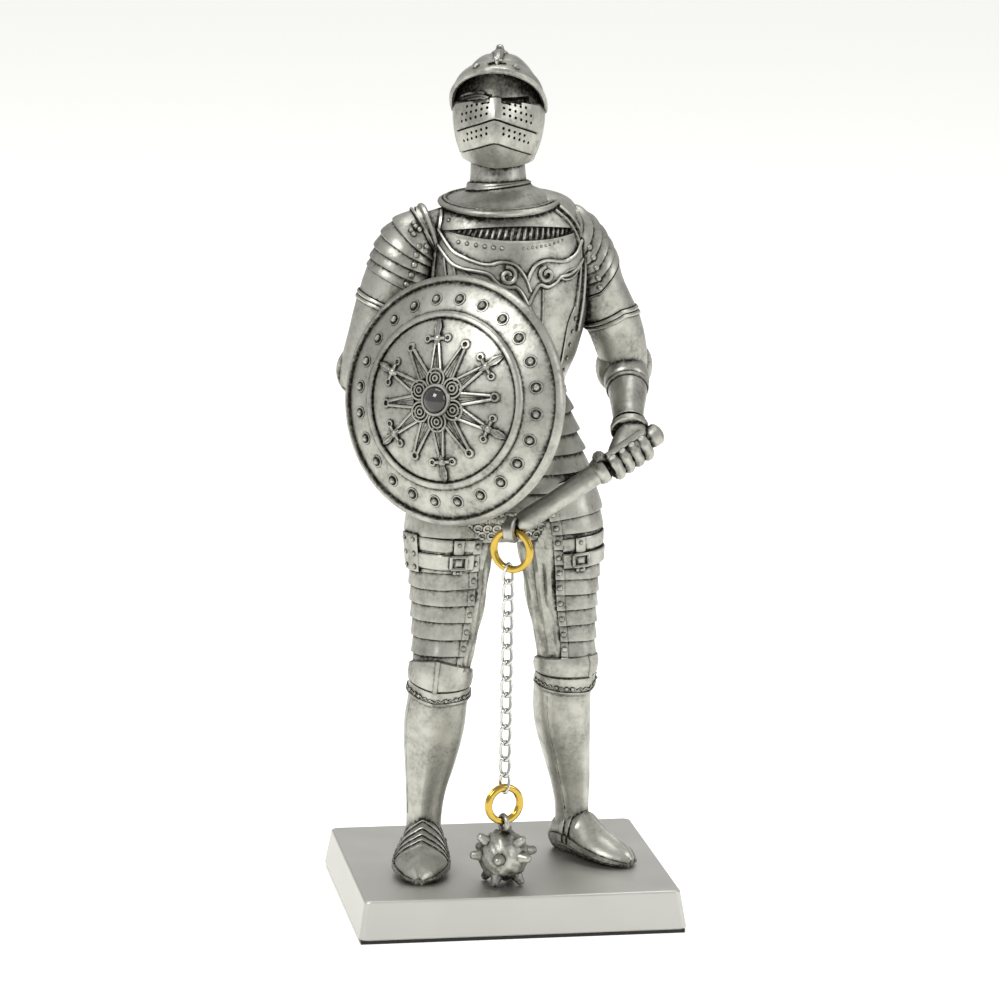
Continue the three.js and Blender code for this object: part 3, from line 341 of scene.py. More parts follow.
def columns(borders, count):
    """Angles round a limb, evenly spaced, with a close pair at each border of a plate."""
    angles = [360 * i / count for i in range(count)]
    for border in borders:
        angles = [a for a in angles if min((a - border) % 360, (border - a) % 360) > BORDER_GAP * 1.2]
    for border in borders:
        angles.extend([(border - BORDER_GAP / 2) % 360, (border + BORDER_GAP / 2) % 360])
    return sorted(angles)


def coat(on, angles, rows, step, extra=None, tilt=None):
    """Armour as one skin. Each row is (s, lift, first, last, dip): between the angles it stands proud by lift
    and its middle drops by dip. s and lift may follow the angle. Rows further apart than step get rows
    between them."""
    a = np.array(angles, float)
    lines = []
    for row in rows:
        s, lift, first, last, dip = row + (0, -360, 720, 0)[len(row) - 1:]
        turned_back = np.where(a - 360 >= first, a - 360, a)
        inside = (turned_back >= first) & (turned_back <= last)
        across = np.where(inside, 1 - np.abs(2 * (turned_back - first) / (last - first) - 1), 0)
        place = (s(a) if callable(s) else s) - dip * across
        height = np.where(inside, lift(a) if callable(lift) else lift, 0.0)
        if tilt:
            place = place + tilt(a, place)
        lines.append((place, height, (first, last)))
    along, lifts = [lines[0][0]], [lines[0][1]]
    for before, after in zip(lines, lines[1:]):
        parts = 1
        if before[2] == after[2]:
            parts = max(1, math.ceil(float(np.max(np.abs(after[0] - before[0]))) / step))
        for i in range(1, parts + 1):
            along.append(before[0] + (after[0] - before[0]) * i / parts)
            lifts.append(before[1] + (after[1] - before[1]) * i / parts)
    along = np.array(along)
    height = np.array(lifts)
    if extra:
        height = height + extra(along, a[None, :])
    return tube(on.at(along, a[None, :], height))


def lames(low, high, count, proud, tucked, first=-360, last=720, dip=0):
    """Overlapping lames from the lowest up: each has a rounded lower lip over a dark undercut."""
    rows = []
    pitch = (high - low) / count
    for i in range(count):
        s = low + pitch * i
        rows.append((s - 0.04, tucked - 0.12, first, last, dip))
        rows.append((s, proud * 0.55, first, last, dip))
        rows.append((s + 0.14, proud, first, last, dip))
        rows.append((s + 0.5, proud * 0.95, first, last, dip))
    rows.append((high - 0.1, tucked, first, last, dip))
    return rows


def rod(points, radius, sides):
    """A round rod through points, its section carried along without twist."""
    points = np.asarray(points, float)
    radius = np.broadcast_to(np.asarray(radius, float), len(points))
    loops = []
    u = None
    for i, point in enumerate(points):
        w = unit(points[min(len(points) - 1, i + 1)] - points[max(0, i - 1)])
        if u is None:
            u = np.cross((0, 0, 1) if abs(w[2]) < 0.9 else (1, 0, 0), w)
        u = unit(u - w * (u @ w))
        loops.append(point + radius[i] * circle(u, np.cross(w, u), sides))
    return tube(loops)


def smooth_path(points):
    """A smooth curve through points, in five steps from each to the next."""
    p = np.asarray(points, float)
    p = np.concatenate([2 * p[:1] - p[1:2], p, 2 * p[-1:] - p[-2:-1]])
    made = []
    for i in range(1, len(p) - 2):
        for t in np.arange(5) / 5:
            made.append(0.5 * (
                2 * p[i] + (p[i + 1] - p[i - 1]) * t
                + (2 * p[i - 1] - 5 * p[i] + 4 * p[i + 1] - p[i + 2]) * t ** 2
                + (3 * p[i] - p[i - 1] - 3 * p[i + 1] + p[i + 2]) * t ** 3
            ))
    made.append(p[-2])
    return np.array(made)


def cord_on(on, route, radius, lift, sides=6):
    """A raised cord that follows [s, angle] points of a limb."""
    path = smooth_path(route)
    return rod(on.at(path[:, 0], path[:, 1], lift), radius, sides)


def dome(at, normal, radius, height, sides=9, sink=0.4):
    """A rivet's head."""
    n = unit(normal)
    u = unit(np.cross(n, (0, 0, 1) if abs(n[2]) < 0.9 else (1, 0, 0)))
    ring = circle(u, np.cross(n, u), sides)
    profile = [(-sink, 1.0), (0.15 * height, 1.0), (0.7 * height, 0.72), (height, 0.25)]
    return tube([np.asarray(at) + n * up + ring * radius * wide for up, wide in profile])


def rivets_on(on, places, radius, height, lift):
    """Rivet heads at [s, angle] points of a limb."""
    made = []
    for s, angle in places:
        point = on.at(s, angle, lift)
        made.append(dome(point, on.normal(s, math.radians(angle)), radius, height))
    return made


PLATE_BEVEL = 0.25
PLATE_SINK = 0.5


def plate_on(on, low, high, first, last, thick, base):
    """A flat plate laid on a limb, with a small bevel round its edge."""
    span = math.radians(last - first) * float(on.value((low + high) / 2)[4])
    inset = PLATE_BEVEL / max(span, 0.1) * (last - first)
    grid = []
    for start, end, bevel, count in (
        (low, high, PLATE_BEVEL, int((high - low) / 0.5)), (first, last, inset, int((last - first) / 4)),
    ):
        middle = np.linspace(start + bevel, end - bevel, max(2, count))
        edge = [-PLATE_SINK, thick * 0.5]
        rise = np.concatenate([edge, np.full(len(middle), thick), edge[::-1]])
        grid.append((np.concatenate([[start, start], middle, [end, end]]), rise))
    (s, rise_s), (a, rise_a) = grid
    top = on.at(s[:, None], a[None, :], base + np.minimum(rise_s[:, None], rise_a[None, :]))
    under = on.at(s[:, None], a[None, :], base - PLATE_SINK - 0.2)
    return grid_slab(top, under)


def grid_slab(top, under):
    """A closed slab between two grids of points."""
    rows, cols, _ = top.shape
    points = np.concatenate([top.reshape(-1, 3), under.reshape(-1, 3)])
    half = rows * cols
    faces = []
    for r in range(rows - 1):
        for c in range(cols - 1):
            a, b = r * cols + c, r * cols + c + 1
            d, e = (r + 1) * cols + c + 1, (r + 1) * cols + c
            faces.append((a, b, d, e))
            faces.append((half + e, half + d, half + b, half + a))
    rim = [(c, c + 1) for c in range(cols - 1)]
    rim += [(r * cols + cols - 1, (r + 1) * cols + cols - 1) for r in range(rows - 1)]
    rim += [((rows - 1) * cols + c + 1, (rows - 1) * cols + c) for c in range(cols - 1)]
    rim += [((r + 1) * cols, r * cols) for r in range(rows - 1)]
    faces += [(half + a, half + b, b, a) for a, b in rim]
    return points, faces


def turned(at, axis, profile, sides):
    """A turned form: the profile is [distance along the axis, radius]."""
    w = unit(axis)
    u = unit(np.cross((0, 0, 1) if abs(w[2]) < 0.95 else (1, 0, 0), w))
    ring = circle(u, np.cross(w, u), sides)
    return tube([np.asarray(at) + w * along + ring * radius for along, radius in profile])


right_leg = Limb(facing(-18), [
    [4, -16.4, 2.6, 4, 3.7, 3.9, 4.4, 0.15],
    [9, -16.4, 2.8, 9, 3.7, 4.0, 4.0, 0.25],
    [15, -16.1, 2.6, 15, 4.1, 4.4, 4.5, 0.3],
    [22, -15.4, 2.0, 22, 5.3, 5.3, 6.0, 0.32],
    [29, -14.8, 1.2, 29, 6.2, 6.0, 6.6, 0.32],
    [35, -14.3, 0.0, 35, 6.1, 6.2, 6.2, 0.3],
    [41.5, -13.9, -1.2, 41.5, 6.0, 6.6, 5.6, 0.3],
    [48, -13.2, -0.6, 48, 6.6, 6.7, 6.2, 0.36],
    [56, -12.4, 0.2, 56, 7.7, 7.7, 7.4, 0.36],
    [65, -12.0, 0.8, 65, 8.6, 8.9, 8.4, 0.3],
    [74, -11.4, 1.4, 74, 9.8, 9.9, 9.4, 0.18],
    [82, -9.5, 1.5, 82, 9.4, 9.4, 9.4, 0.05],
])
left_leg = Limb(facing(33), [
    [4, 16.1, 4.6, 4, 3.3, 3.9, 4.4, 0.15],
    [10, 15.9, 4.6, 10, 3.4, 3.9, 4.1, 0.25],
    [16, 15.4, 4.2, 16, 4.0, 4.3, 4.7, 0.3],
    [23, 14.3, 3.2, 23, 4.9, 5.2, 6.0, 0.32],
    [30, 13.2, 2.2, 30, 5.9, 6.0, 6.6, 0.32],
    [36, 12.7, 1.0, 36, 6.2, 6.2, 6.2, 0.3],
    [41.5, 12.8, -0.4, 41.5, 6.2, 6.6, 5.8, 0.25],
    [48, 12.7, -0.2, 48, 6.4, 6.6, 6.2, 0.2],
    [56, 12.0, 0.4, 56, 7.5, 7.6, 7.4, 0.2],
    [65, 11.5, 1.0, 65, 8.5, 8.8, 8.4, 0.15],
    [74, 10.6, 1.4, 74, 9.4, 9.6, 9.4, 0.1],
    [82, 8.5, 1.5, 82, 9.4, 9.4, 9.4, 0.05],
])
right_foot = Limb((0, 0, 1), [
    [0, -15.4, 7.8, 2.4, 2.6, 2.2, 3.4, 0],
    [1, -15.9, 5.2, 3.4, 3.7, 4.4, 4.4, 0],
    [2, -16.8, 0.4, 3.6, 4.0, 5.4, 4.6, 0.1],
    [3, -18.0, -5.4, 2.8, 4.9, 4.0, 3.8, 0.3],
    [4, -19.0, -10.8, 2.0, 5.0, 3.2, 3.0, 0.35],
    [5, -19.9, -15.0, 1.4, 3.0, 2.2, 2.4, 0.4],
    [6, -20.4, -17.2, 1.0, 0.8, 0.9, 2.0, 0.2],
])
left_foot = Limb((0, 0, 1), [
    [0, 13.4, 8.6, 2.4, 2.6, 2.2, 3.4, 0],
    [1, 14.8, 6.4, 3.4, 3.5, 4.4, 4.4, 0],
    [2, 17.4, 2.4, 3.6, 3.8, 5.4, 4.6, 0.1],
    [3, 20.4, -2.2, 2.8, 4.5, 3.7, 3.8, 0.35],
    [4, 23.0, -6.0, 2.0, 4.0, 2.6, 3.0, 0.4],
    [5, 24.9, -8.8, 1.3, 2.1, 1.6, 2.3, 0.4],
    [6, 25.7, -10.2, 1.0, 0.6, 0.8, 2.0, 0.2],
])

# The casting's leg harness: a thigh defence of lames over the outer side and cloth breeches inside it, a
# pointed poleyn with its strap, a smooth greave with a medial ridge, and a sabaton.
KNEE = (-35, 215)
casting = []


def folds(on, first, last, low, high):
    """Soft folds in the cloth outside the plate's angles, and a raised border strip inside each edge."""
    def lift(s, angle):
        a = np.where(angle - 360 >= first, angle - 360, angle)
        inside = (a >= first) & (a <= last)
        crease = np.sin(np.radians(angle) * 9 + 0.12 * s + 1.3 * np.sin(0.17 * s))
        cloth = 0.7 * np.abs(crease) ** 0.7 - 0.55 + 0.12 * np.sin(0.7 * s - np.radians(angle) * 5)
        shown = (s > low) & (s < high)
        strip = np.where((a < first + 13) | (a > last - 13), 0.22, 0.0)
        return np.where(shown, np.where(inside, strip, cloth), 0.0)
    return lift


def leg_harness(on, first, last, thigh_low, thigh_high, thigh_count, knee_low, knee_high, knee_dip, seam):
    """The whole leg of one side. Returns its shells."""
    rows = [
        (5, 0), (9, 0), (15, 0.15), (22, 0.15), (29, 0.15), (knee_low - 3.2, 0.15),
        (knee_low - 2.9, 0.1, *KNEE, 0), (knee_low - 2.86, 0.55, *KNEE, 0),
        (knee_low - 2.6, 0.65, *KNEE, 0),
        (knee_low - 0.3, 0.4, *KNEE, -0.2), (knee_low - 0.04, 0.1, *KNEE, -0.2),
        (knee_low, 0.5, *KNEE, -0.2), (knee_low + 0.2, 0.75, *KNEE, -0.2),
        ((knee_low + knee_high) / 2, 0.9, *KNEE, -0.8), (knee_high - 0.3, 0.7, *KNEE, knee_dip),
        (knee_high, 0.3, *KNEE, knee_dip), (knee_high + 0.05, 0.0, *KNEE, knee_dip),
    ]
    rows += lames(thigh_low, thigh_high, thigh_count, 0.4, 0.0, first, last,
        0.7) + [(82, 0, first, last, 0)]
    borders = [first % 360, last % 360, (first + 13) % 360, (last - 13) % 360, KNEE[0] % 360, KNEE[1]]
    angles = columns(borders, 54)
    made = [coat(on, angles, rows, 1.0, folds(on, first, last, knee_high + 0.5, 80))]
    pitch = (thigh_high - thigh_low) / thigh_count
    for i in range(thigh_count):
        s = thigh_low + pitch * (i + 0.55)
        made += rivets_on(on, [(s - 0.35, first + 6), (s - 0.35, last - 6)], 0.62, 0.45, 0.35)
    made += [
        cord_on(on, [(s, seam) for s in np.linspace(10, knee_low - 4, 12)], 0.16, 0.08),
        cord_on(on, [(knee_low - 2.3, a) for a in range(-25, 206, 10)], 0.28, 0.6),
        cord_on(on, [(knee_low + 0.2, 89), (knee_low + 1.6, 89), (knee_high - knee_dip - 0.2, 89)], 0.5,
            0.6, 8),
        cord_on(on, [(knee_low - 1.6 + 0.25 * math.sin(a), a) for a in range(-25, 206, 4)], 0.16, 0.62),
    ]
    made += rivets_on(on, [(knee_low - 1.5, a) for a in (146, 128, 118, 68, 48, 30)], 0.45, 0.45, 0.6)
    return made


casting += leg_harness(right_leg, 40, 220, 45.4, 78.1, 9, 39.4, 42.4, -2.0, 150)
casting += leg_harness(left_leg, -40, 140, 44.9, 78.0, 10, 41.3, 44.2, -0.9, 165)


STRAP_AT = 67.4
BUCKLE_HALF = 9.5


def thigh_strap(on, first, last, buckle, plate):
    """Two straps round the thigh, with a square buckle, its tongue and a riveted hinge plate."""
    s = STRAP_AT
    made = [
        plate_on(on, s - 3.4, s - 0.3, first, last, 0.35, 0.55),
        plate_on(on, s + 0.2, s + 2.8, first, last, 0.2, 0.35),
    ]
    left, right = buckle - BUCKLE_HALF, buckle + BUCKLE_HALF
    corners = [(s - 3.0, left), (s - 3.0, right), (s - 0.5, right), (s - 0.5, left)]
    for i in range(4):
        made.append(cord_on(on, [corners[i], corners[(i + 1) % 4]], 0.34, 1.1))
    made.append(plate_on(on, s - 4.2, s + 2.9, buckle - 6, buckle + 6, 0.25, 0.75))
    made.append(plate_on(on, s - 2.4, s - 1.1, buckle - 4, buckle + 4, 0.3, 1.0))
    made += rivets_on(on, [(s + 2.0, buckle), (s - 3.8, buckle)], 0.42, 0.4, 1.0)
    if plate:
        made.append(plate_on(on, s - 4.4, s + 3.2, plate - 17, plate + 16, 0.35, 0.75))
        for ds in (-3.4, -0.6, 2.3):
            made += rivets_on(on, [(s + ds, plate - 11), (s + ds, plate + 8)], 0.5, 0.45, 1.1)
    return made


casting += thigh_strap(right_leg, 50, 200, 72, 142)
casting += thigh_strap(left_leg, -20, 128, 106, None)


def sabaton(foot, lame_low, lame_high, count):
    """Overlapping lames across the instep, a toe cap with a medial ridge, and a sole with a thin welt."""
    def welt(s, angle):
        low_side = ((angle > 172) & (angle < 200)) | (angle < 8) | (angle > 340)
        ridge = np.where(s > 2.2, 0.35 * np.exp(-((angle - 90) / 9.0) ** 2), 0)
        return np.where(low_side & (s > 0.6) & (s < 5.8), 0.45, 0.0) + ridge
    rows = [(0, 0), (1, 0), (lame_low - 0.05, 0.1)]
    pitch = (lame_high - lame_low) / count
    for i in range(count):
        s = lame_low + pitch * i
        for share, lift in ((0, 0.25), (0.88, 0.6), (0.96, 0.5)):
            rows.append((s + pitch * share, lift, -10, 190, 0.25))
    rows += [(5.2, 0.3, -10, 190, 0.1), (6, 0)]
    return coat(foot, columns([172, 8, 200, 340], 52), rows, 0.17, welt)


casting.append(sabaton(right_foot, 1.5, 3.9, 7))
casting.append(sabaton(left_foot, 1.5, 2.4, 3))

# The casting's cuirass: a breastplate with a pleated slit at the neck, scrolls and rows of rivets, and
# below the waist a skirt of lames, with a little mail showing at the groin.
torso = Limb(facing(5), [
    [70, -0.8, 1.5, 70, 12.5, 8.5, 8.5, 0.05],
    [76, -0.9, 1.5, 76, 18.0, 10.5, 10.5, 0.05],
    [86, -0.4, 1.5, 86, 16.6, 11.0, 10.3, 0.08],
    [95, 0.0, 1.5, 95, 13.2, 10.6, 9.0, 0.1],
    [102, -0.1, 1.5, 102, 11.0, 10.6, 8.4, 0.12],
    [110, 0.0, 1.5, 110, 13.5, 13.4, 9.6, 0.15],
    [119, -0.3, 1.5, 119, 15.9, 13.6, 10.8, 0.12],
    [127, -0.9, 1.6, 127, 16.6, 12.2, 11.0, 0.08],
    [134, -1.2, 1.8, 134, 15.2, 10.3, 10.2, 0.04],
    [139, -1.5, 2.0, 138.6, 13.0, 8.6, 8.8, 0],
    [143, -1.8, 2.0, 141.4, 7.0, 6.4, 7.2, 0],
])
gorget = Limb(facing(-5), [
    [0, -2.7, 1.6, 139.6, 11.9, 13.0, 10.4, 0],
    [1, -2.75, 1.5, 140.9, 9.8, 10.2, 9.0, 0],
    [2, -2.85, 1.5, 142.2, 7.0, 7.5, 7.2, 0],
    [3, -2.95, 1.6, 143.4, 5.9, 6.3, 6.4, 0],
    [4, -3.1, 1.9, 147.5, 5.5, 5.6, 6.0, 0],
])


def drawn_on(on, places, lift=0.0):
    """Points on the front of a limb that lie behind [x, z] places of a front view."""
    x, z = np.array(places, float).T
    s = z.copy()
    v = on.value(s)
    angle = np.degrees(np.arccos(np.clip((x - v[:, 1]) / v[:, 4], -0.96, 0.96)))
    for _ in range(14):
        points = on.at(s, angle, lift)
        s = np.clip(s + z - points[:, 2], on.low, on.high)
        turn = (points[:, 0] - x) / (v[:, 4] * np.maximum(np.sin(np.radians(angle)), 0.3))
        angle = np.clip(angle + np.degrees(turn), 8, 172)
    return on.at(s, angle, lift)


def bosses_on(on, places, radius, height, lift):
    """Rivet heads at [x, z] places of a front view."""
    made = []
    for point, ahead in zip(drawn_on(on, places, lift), drawn_on(on, places, lift + 1)):
        made.append(dome(point, ahead - point, radius, height))
    return made


def ribbon_on(on, upper, lower, lift, edge=0.4):
    """A flat ribbon between two lines of a front view, with a raised cord along each edge."""
    routes = []
    for line in (upper, lower):
        path = smooth_path(line)
        run = np.concatenate([[0], np.cumsum(np.linalg.norm(np.diff(path, axis=0), axis=1))])
        even = np.linspace(0, run[-1], 60)
        routes.append(np.stack([np.interp(even, run, path[:, 0]), np.interp(even, run, path[:, 1])], 1))
    top, under = [], []
    for share in np.linspace(0.02, 0.98, 7):
        across = routes[0] + (routes[1] - routes[0]) * share
        top.append(drawn_on(on, across, lift))
        under.append(drawn_on(on, across, lift - 1.0))
    made = [grid_slab(np.array(top), np.array(under))]
    return made + [rod(drawn_on(on, route, lift), edge, 7) for route in routes]


# The slit is a lens between two arcs that meet at its ends.
SLIT = (30, 151)
SLIT_UP = 1.0
SLIT_DOWN = 1.7
PLEATS = 25


def slit_share(angle):
    return np.clip((angle - SLIT[0]) / (SLIT[1] - SLIT[0]), 0, 1)


def slit_line(rise, over=0.0):
    """Where one edge of the slit runs: rise is how far its middle stands over the line between its ends."""
    return lambda a: 134.1 - 0.83 * np.cos(np.radians(a)) + rise * np.sin(math.pi * slit_share(a)) + over


def slit_floor(angle):
    return 0.9 - 0.95 * np.clip(3 * np.sin(math.pi * slit_share(angle)), 0, 1)


def pleat(share):
    """One slanted pleat across the slit."""
    angle = SLIT[0] + (SLIT[1] - SLIT[0]) * share
    low, high = slit_line(-SLIT_DOWN)(angle), slit_line(SLIT_UP)(angle)
    steps = np.linspace(0, 1, 5)
    path = torso.at(low + (high - low) * steps, angle + 1.4 - 2.8 * steps, slit_floor(angle) + 0.2)
    return rod(path, 0.34, 6)


cuirass_rows = [
    (70, 0), (76.9, 0.3), *lames(77, 100, 6, 1.1, 0.3), (99.6, 0.5), (99.7, 0.9), (101, 0.9), (101.1, 0.6),
    (104, 0.6), (108, 0.8), (115, 0.9), (122, 0.9), (128.5, 0.9), (131, 0.9),
]
for rise, over, lift in (
    (-SLIT_DOWN, -0.45, 0.95), (-SLIT_DOWN, -0.12, 1.15), (-SLIT_DOWN, -0.03, 0.95),
    (-SLIT_DOWN, 0.0, slit_floor),
    (SLIT_UP, 0.02, slit_floor), (SLIT_UP, 0.05, 1.0), (SLIT_UP, 0.4, 1.0),
):
    cuirass_rows.append((slit_line(rise, over), lift))
cuirass_rows += [(138.6, 0.8), (140.5, 0.4), (143, 0)]
casting.append(coat(torso, columns([], 132), cuirass_rows, 0.9))
casting += [pleat((i + 0.5) / PLEATS) for i in range(2, PLEATS - 2)]
casting.append(cord_on(gorget, [(0.0, a) for a in range(0, 361, 12)], 0.55, 0.35, 8))
casting.append(cord_on(gorget, [(0.42, a) for a in range(0, 361, 12)], 0.25, 0.4))
casting.append(coat(gorget, columns([], 72), [
    (0, -0.5), (0.01, 0.3), (0.04, 0.75), (0.1, 0.85), (0.22, 0.7), (0.3, 0.3), (0.36, 0.25), (0.42, 0.5),
    (0.55, 0.5),
    (0.62, 0.1), (1.2, 0.05), (2, 0.1), (2.25, 0.15), (2.3, -0.1), (2.34, 0.5), (2.45, 0.6), (2.85, 0.55),
    (3.0, 0.6),
    (3.1, 0.45), (3.14, -0.1), (3.2, 0), (4, 0),
], 0.2))
casting += ribbon_on(torso, [
    (-16.1, 134.6), (-13.9, 131.0), (-11.6, 129.6), (-8.4, 128.5), (-6.4, 128.4), (-4.3, 128.9),
    (-1.7, 128.4),
    (-0.3, 127.1), (0.8, 125.3), (1.6, 123.0),
], [
    (-16.6, 132.0), (-14.1, 128.5), (-12.0, 127.4), (-9.2, 127.0), (-6.8, 126.5), (-5.6, 125.3),
    (-4.4, 124.3),
    (-2.7, 124.1), (-1.4, 124.0), (-0.2, 122.8), (1.0, 120.5),
], 1.3)
casting += ribbon_on(torso, [
    (13.6, 132.2), (12.2, 129.9), (10.1, 128.8), (8.3, 128.6), (5.4, 129.0), (3.1, 128.4), (1.9, 127.0),
    (1.0, 125.2),
], [
    (13.6, 128.6), (12.5, 127.2), (10.4, 126.0), (8.3, 125.7), (7.2, 124.7), (5.3, 123.9), (3.6, 124.4),
    (2.5, 123.2),
    (1.0, 120.5),
], 1.3)
for x, z, radius, way in ((-3.1, 126.2, 1.85, 1), (5.1, 126.3, 1.6, -1)):
    spiral = []
    for t in np.linspace(0, 1, 34):
        turn = math.radians(100) - way * 2 * math.pi * 1.25 * t
        r = radius * (1 - 0.7 * t)
        spiral.append((x + r * math.cos(turn), z + r * math.sin(turn)))
    casting.append(rod(drawn_on(torso, spiral, 1.55), 0.46, 8))
leaf_upper = [(8.3, 125.4), (9.6, 126.6), (11.4, 127.0), (13.0, 127.4)]
leaf_lower = [(8.3, 125.4), (9.6, 125.0), (11.4, 125.5), (13.0, 127.4)]
casting += ribbon_on(torso, leaf_upper, leaf_lower, 1.25, 0.26)
for places, radius, lift in (
    ([(4.3, 123.4), (4.2, 119.5), (4.1, 116.0), (3.9, 110)], 0.3, 0.95),
    ([(1.0, 120.5), (2.0, 118.8), (2.7, 117.2), (2.8, 113)], 0.3, 0.95),
    ([(8.6, 139.4), (11.6, 136.6), (13.6, 132.9), (14.1, 127.8), (13.6, 120.2), (12.6, 114)], 0.55, 1.0),
    ([(7.6, 138.8), (10.6, 136.2), (12.7, 132.6), (13.1, 129.0), (12.6, 123.0), (11.9, 119)], 0.35, 1.05),
    ([(12.2, 120), (10.2, 115.6), (9.2, 108.7), (8.6, 104)], 0.3, 0.95),
    ([(-14.9, 138.6), (-15.6, 135.4), (-16.4, 131.5), (-17.0, 125.5), (-16.8, 118)], 0.5, 1.0),
    ([(-15.2, 131.0), (-15.0, 127.5), (-14.6, 124)], 0.35, 0.95),
    ([(-13.6, 129.0), (-13.2, 126.4), (-12.6, 123.5)], 0.35, 0.95),
    ([(-12.0, 127.2), (-10.0, 125.2), (-8.0, 123.6)], 0.35, 0.95),
):
    casting.append(rod(drawn_on(torso, smooth_path(places), lift), radius, 6))
casting += bosses_on(torso, [
    (-14.0, 136.6), (-12.4, 132.5), (-10.8, 132.3), (-9.1, 132.1), (-7.4, 131.9), (-5.7, 131.7),
    (-4.0, 131.6),
], 0.45, 0.4, 0.85)
casting += bosses_on(torso, [(0.4 + 0.95 * i, 131.6 + 0.013 * i * i) for i in range(10)], 0.28, 0.25, 0.85)
casting += bosses_on(torso, [
    (11.9, 116.6), (11.3, 114.0), (10.9, 111.2), (10.4, 108.4), (9.9, 105.6),
], 0.45, 0.4, 0.85)

# Curls of mail under the skirt, cast as small half-rings.
for row, z in enumerate((76.6, 74.9, 73.2, 71.6)):
    for i in range(-5, 6):
        x = i * 1.9 + (row % 2) * 0.95
        curl = [(x + 0.75 * math.cos(t), z + 0.75 * math.sin(t)) for t in np.linspace(0, 1.7 * math.pi, 9)]
        casting.append(rod(drawn_on(torso, curl, 0.1), 0.34, 5))

# The casting's arms: riveted lames over each shoulder, a banded rerebrace, a cupped couter and a vambrace.
right_arm = Limb(facing(-25), [
    [100, -30.6, 4.2, 100, 4.6, 4.8, 4.8, 0],
    [105, -29.5, 3.5, 105, 5.4, 5.6, 5.6, 0],
    [111, -27.8, 2.8, 111, 5.8, 6.2, 6.2, 0],
    [118, -25.6, 2.2, 118, 6.4, 6.9, 6.9, 0],
    [124.5, -23.0, 2.0, 124.5, 6.8, 7.6, 7.6, 0],
    [130, -20.6, 2.0, 130, 6.9, 8.0, 8.0, 0],
    [134, -17.8, 2.0, 132.6, 6.0, 6.4, 6.8, 0],
    [138.5, -13.4, 2.0, 133.6, 5.0, 4.6, 5.0, 0],
])
right_forearm = Limb((0, 0, 1), [
    [0, -10.6, -12.6, 103.6, 3.6, 3.0, 3.2, 0],
    [1, -15.8, -8.2, 103.9, 3.8, 3.4, 3.6, 0],
    [2, -22.8, -2.4, 104.2, 4.7, 4.4, 4.4, 0],
    [3, -29.4, 3.2, 104.4, 5.0, 5.0, 5.0, 0],
])
left_arm = Limb(facing(20), [
    [100, 24.8, 4.6, 100, 3.9, 4.6, 4.6, 0],
    [105, 24.8, 4.4, 105, 4.7, 5.2, 5.2, 0],
    [109, 23.8, 3.5, 109, 5.2, 5.6, 5.6, 0],
    [114, 22.0, 2.6, 114, 5.5, 6.0, 6.1, 0],
    [121, 18.2, 2.0, 121, 5.6, 6.7, 7.0, 0],
    [128, 15.4, 2.0, 128, 6.0, 6.6, 7.6, 0],
    [133.5, 12.0, 2.0, 133.4, 5.4, 5.2, 6.8, 0],
    [138.5, 7.2, 2.0, 136.6, 3.2, 3.2, 5.0, 0],
])
left_forearm = Limb((0, -0.51, 0.86), [
    [0, 22.8, -12.2, 94.0, 3.1, 3.0, 3.0, 0],
    [1, 23.2, -8.4, 96.6, 3.2, 3.4, 3.4, 0],
    [2, 24.3, -2.0, 100.6, 4.0, 4.2, 4.2, 0],
    [3, 24.8, 4.0, 104.6, 4.5, 4.8, 4.8, 0],
])


def arm_harness(on, forearm, first, last, slope, rows, rivet_places, forearm_rows):
    """The arm of one side, from shoulder to wrist. Returns its shells."""
    middle = (first + last) / 2

    def tilt(angle, s):
        """The shoulder's lames drop towards the chest."""
        a = np.where(angle - 360 >= first - 60, angle - 360, angle)
        reach = np.clip((s - 118) / 5, 0, 1) * np.clip((138.5 - s) / 1.5, 0, 1)
        across = (a - middle) / 60 * (1 if slope < 0 else -1)
        return -abs(slope) * np.clip(across, -0.2, 1.4) * reach

    made = [coat(on, columns([first % 360, last % 360], 64), [(101, 0), *rows], 0.9, None, tilt)]
    made.append(coat(forearm, columns([], 48), forearm_rows, 0.15))
    elbow = on.value(104.4)[1:4]
    back = -on.frame(104.4)[1]
    made.append(turned(elbow, back, [
        (-2.4, 5.4), (-1.6, 5.9), (0, 6.2), (0.3, 5.8), (1.6, 5.9), (3.2, 5.1), (4.6, 3.9), (5.5, 2.2),
        (5.9, 0.4),
    ], 28))
    for s, a in rivet_places:
        drop = float(tilt(np.array(float(a)), np.array(float(s))))
        made += rivets_on(on, [(s + drop, a)], 0.68, 0.5, 0.15)
    return made


def arm_band(s, drop=0.0):
    """A raised double band with a dark line on each side of it. Its outer end can hang lower by drop."""
    def at(step):
        return lambda a: s + step - drop * np.clip(np.cos(np.radians(a)), 0, 1)

    profile = [
        (-0.05, 0), (0, -0.1), (0.06, 0.35), (0.35, 0.45), (0.65, 0.3), (0.75, 0.05), (0.85, 0.3),
        (1.15, 0.45),
        (1.5, 0.3), (1.58, -0.15), (1.7, 0),
    ]
    return [(at(step), lift) for step, lift in profile]


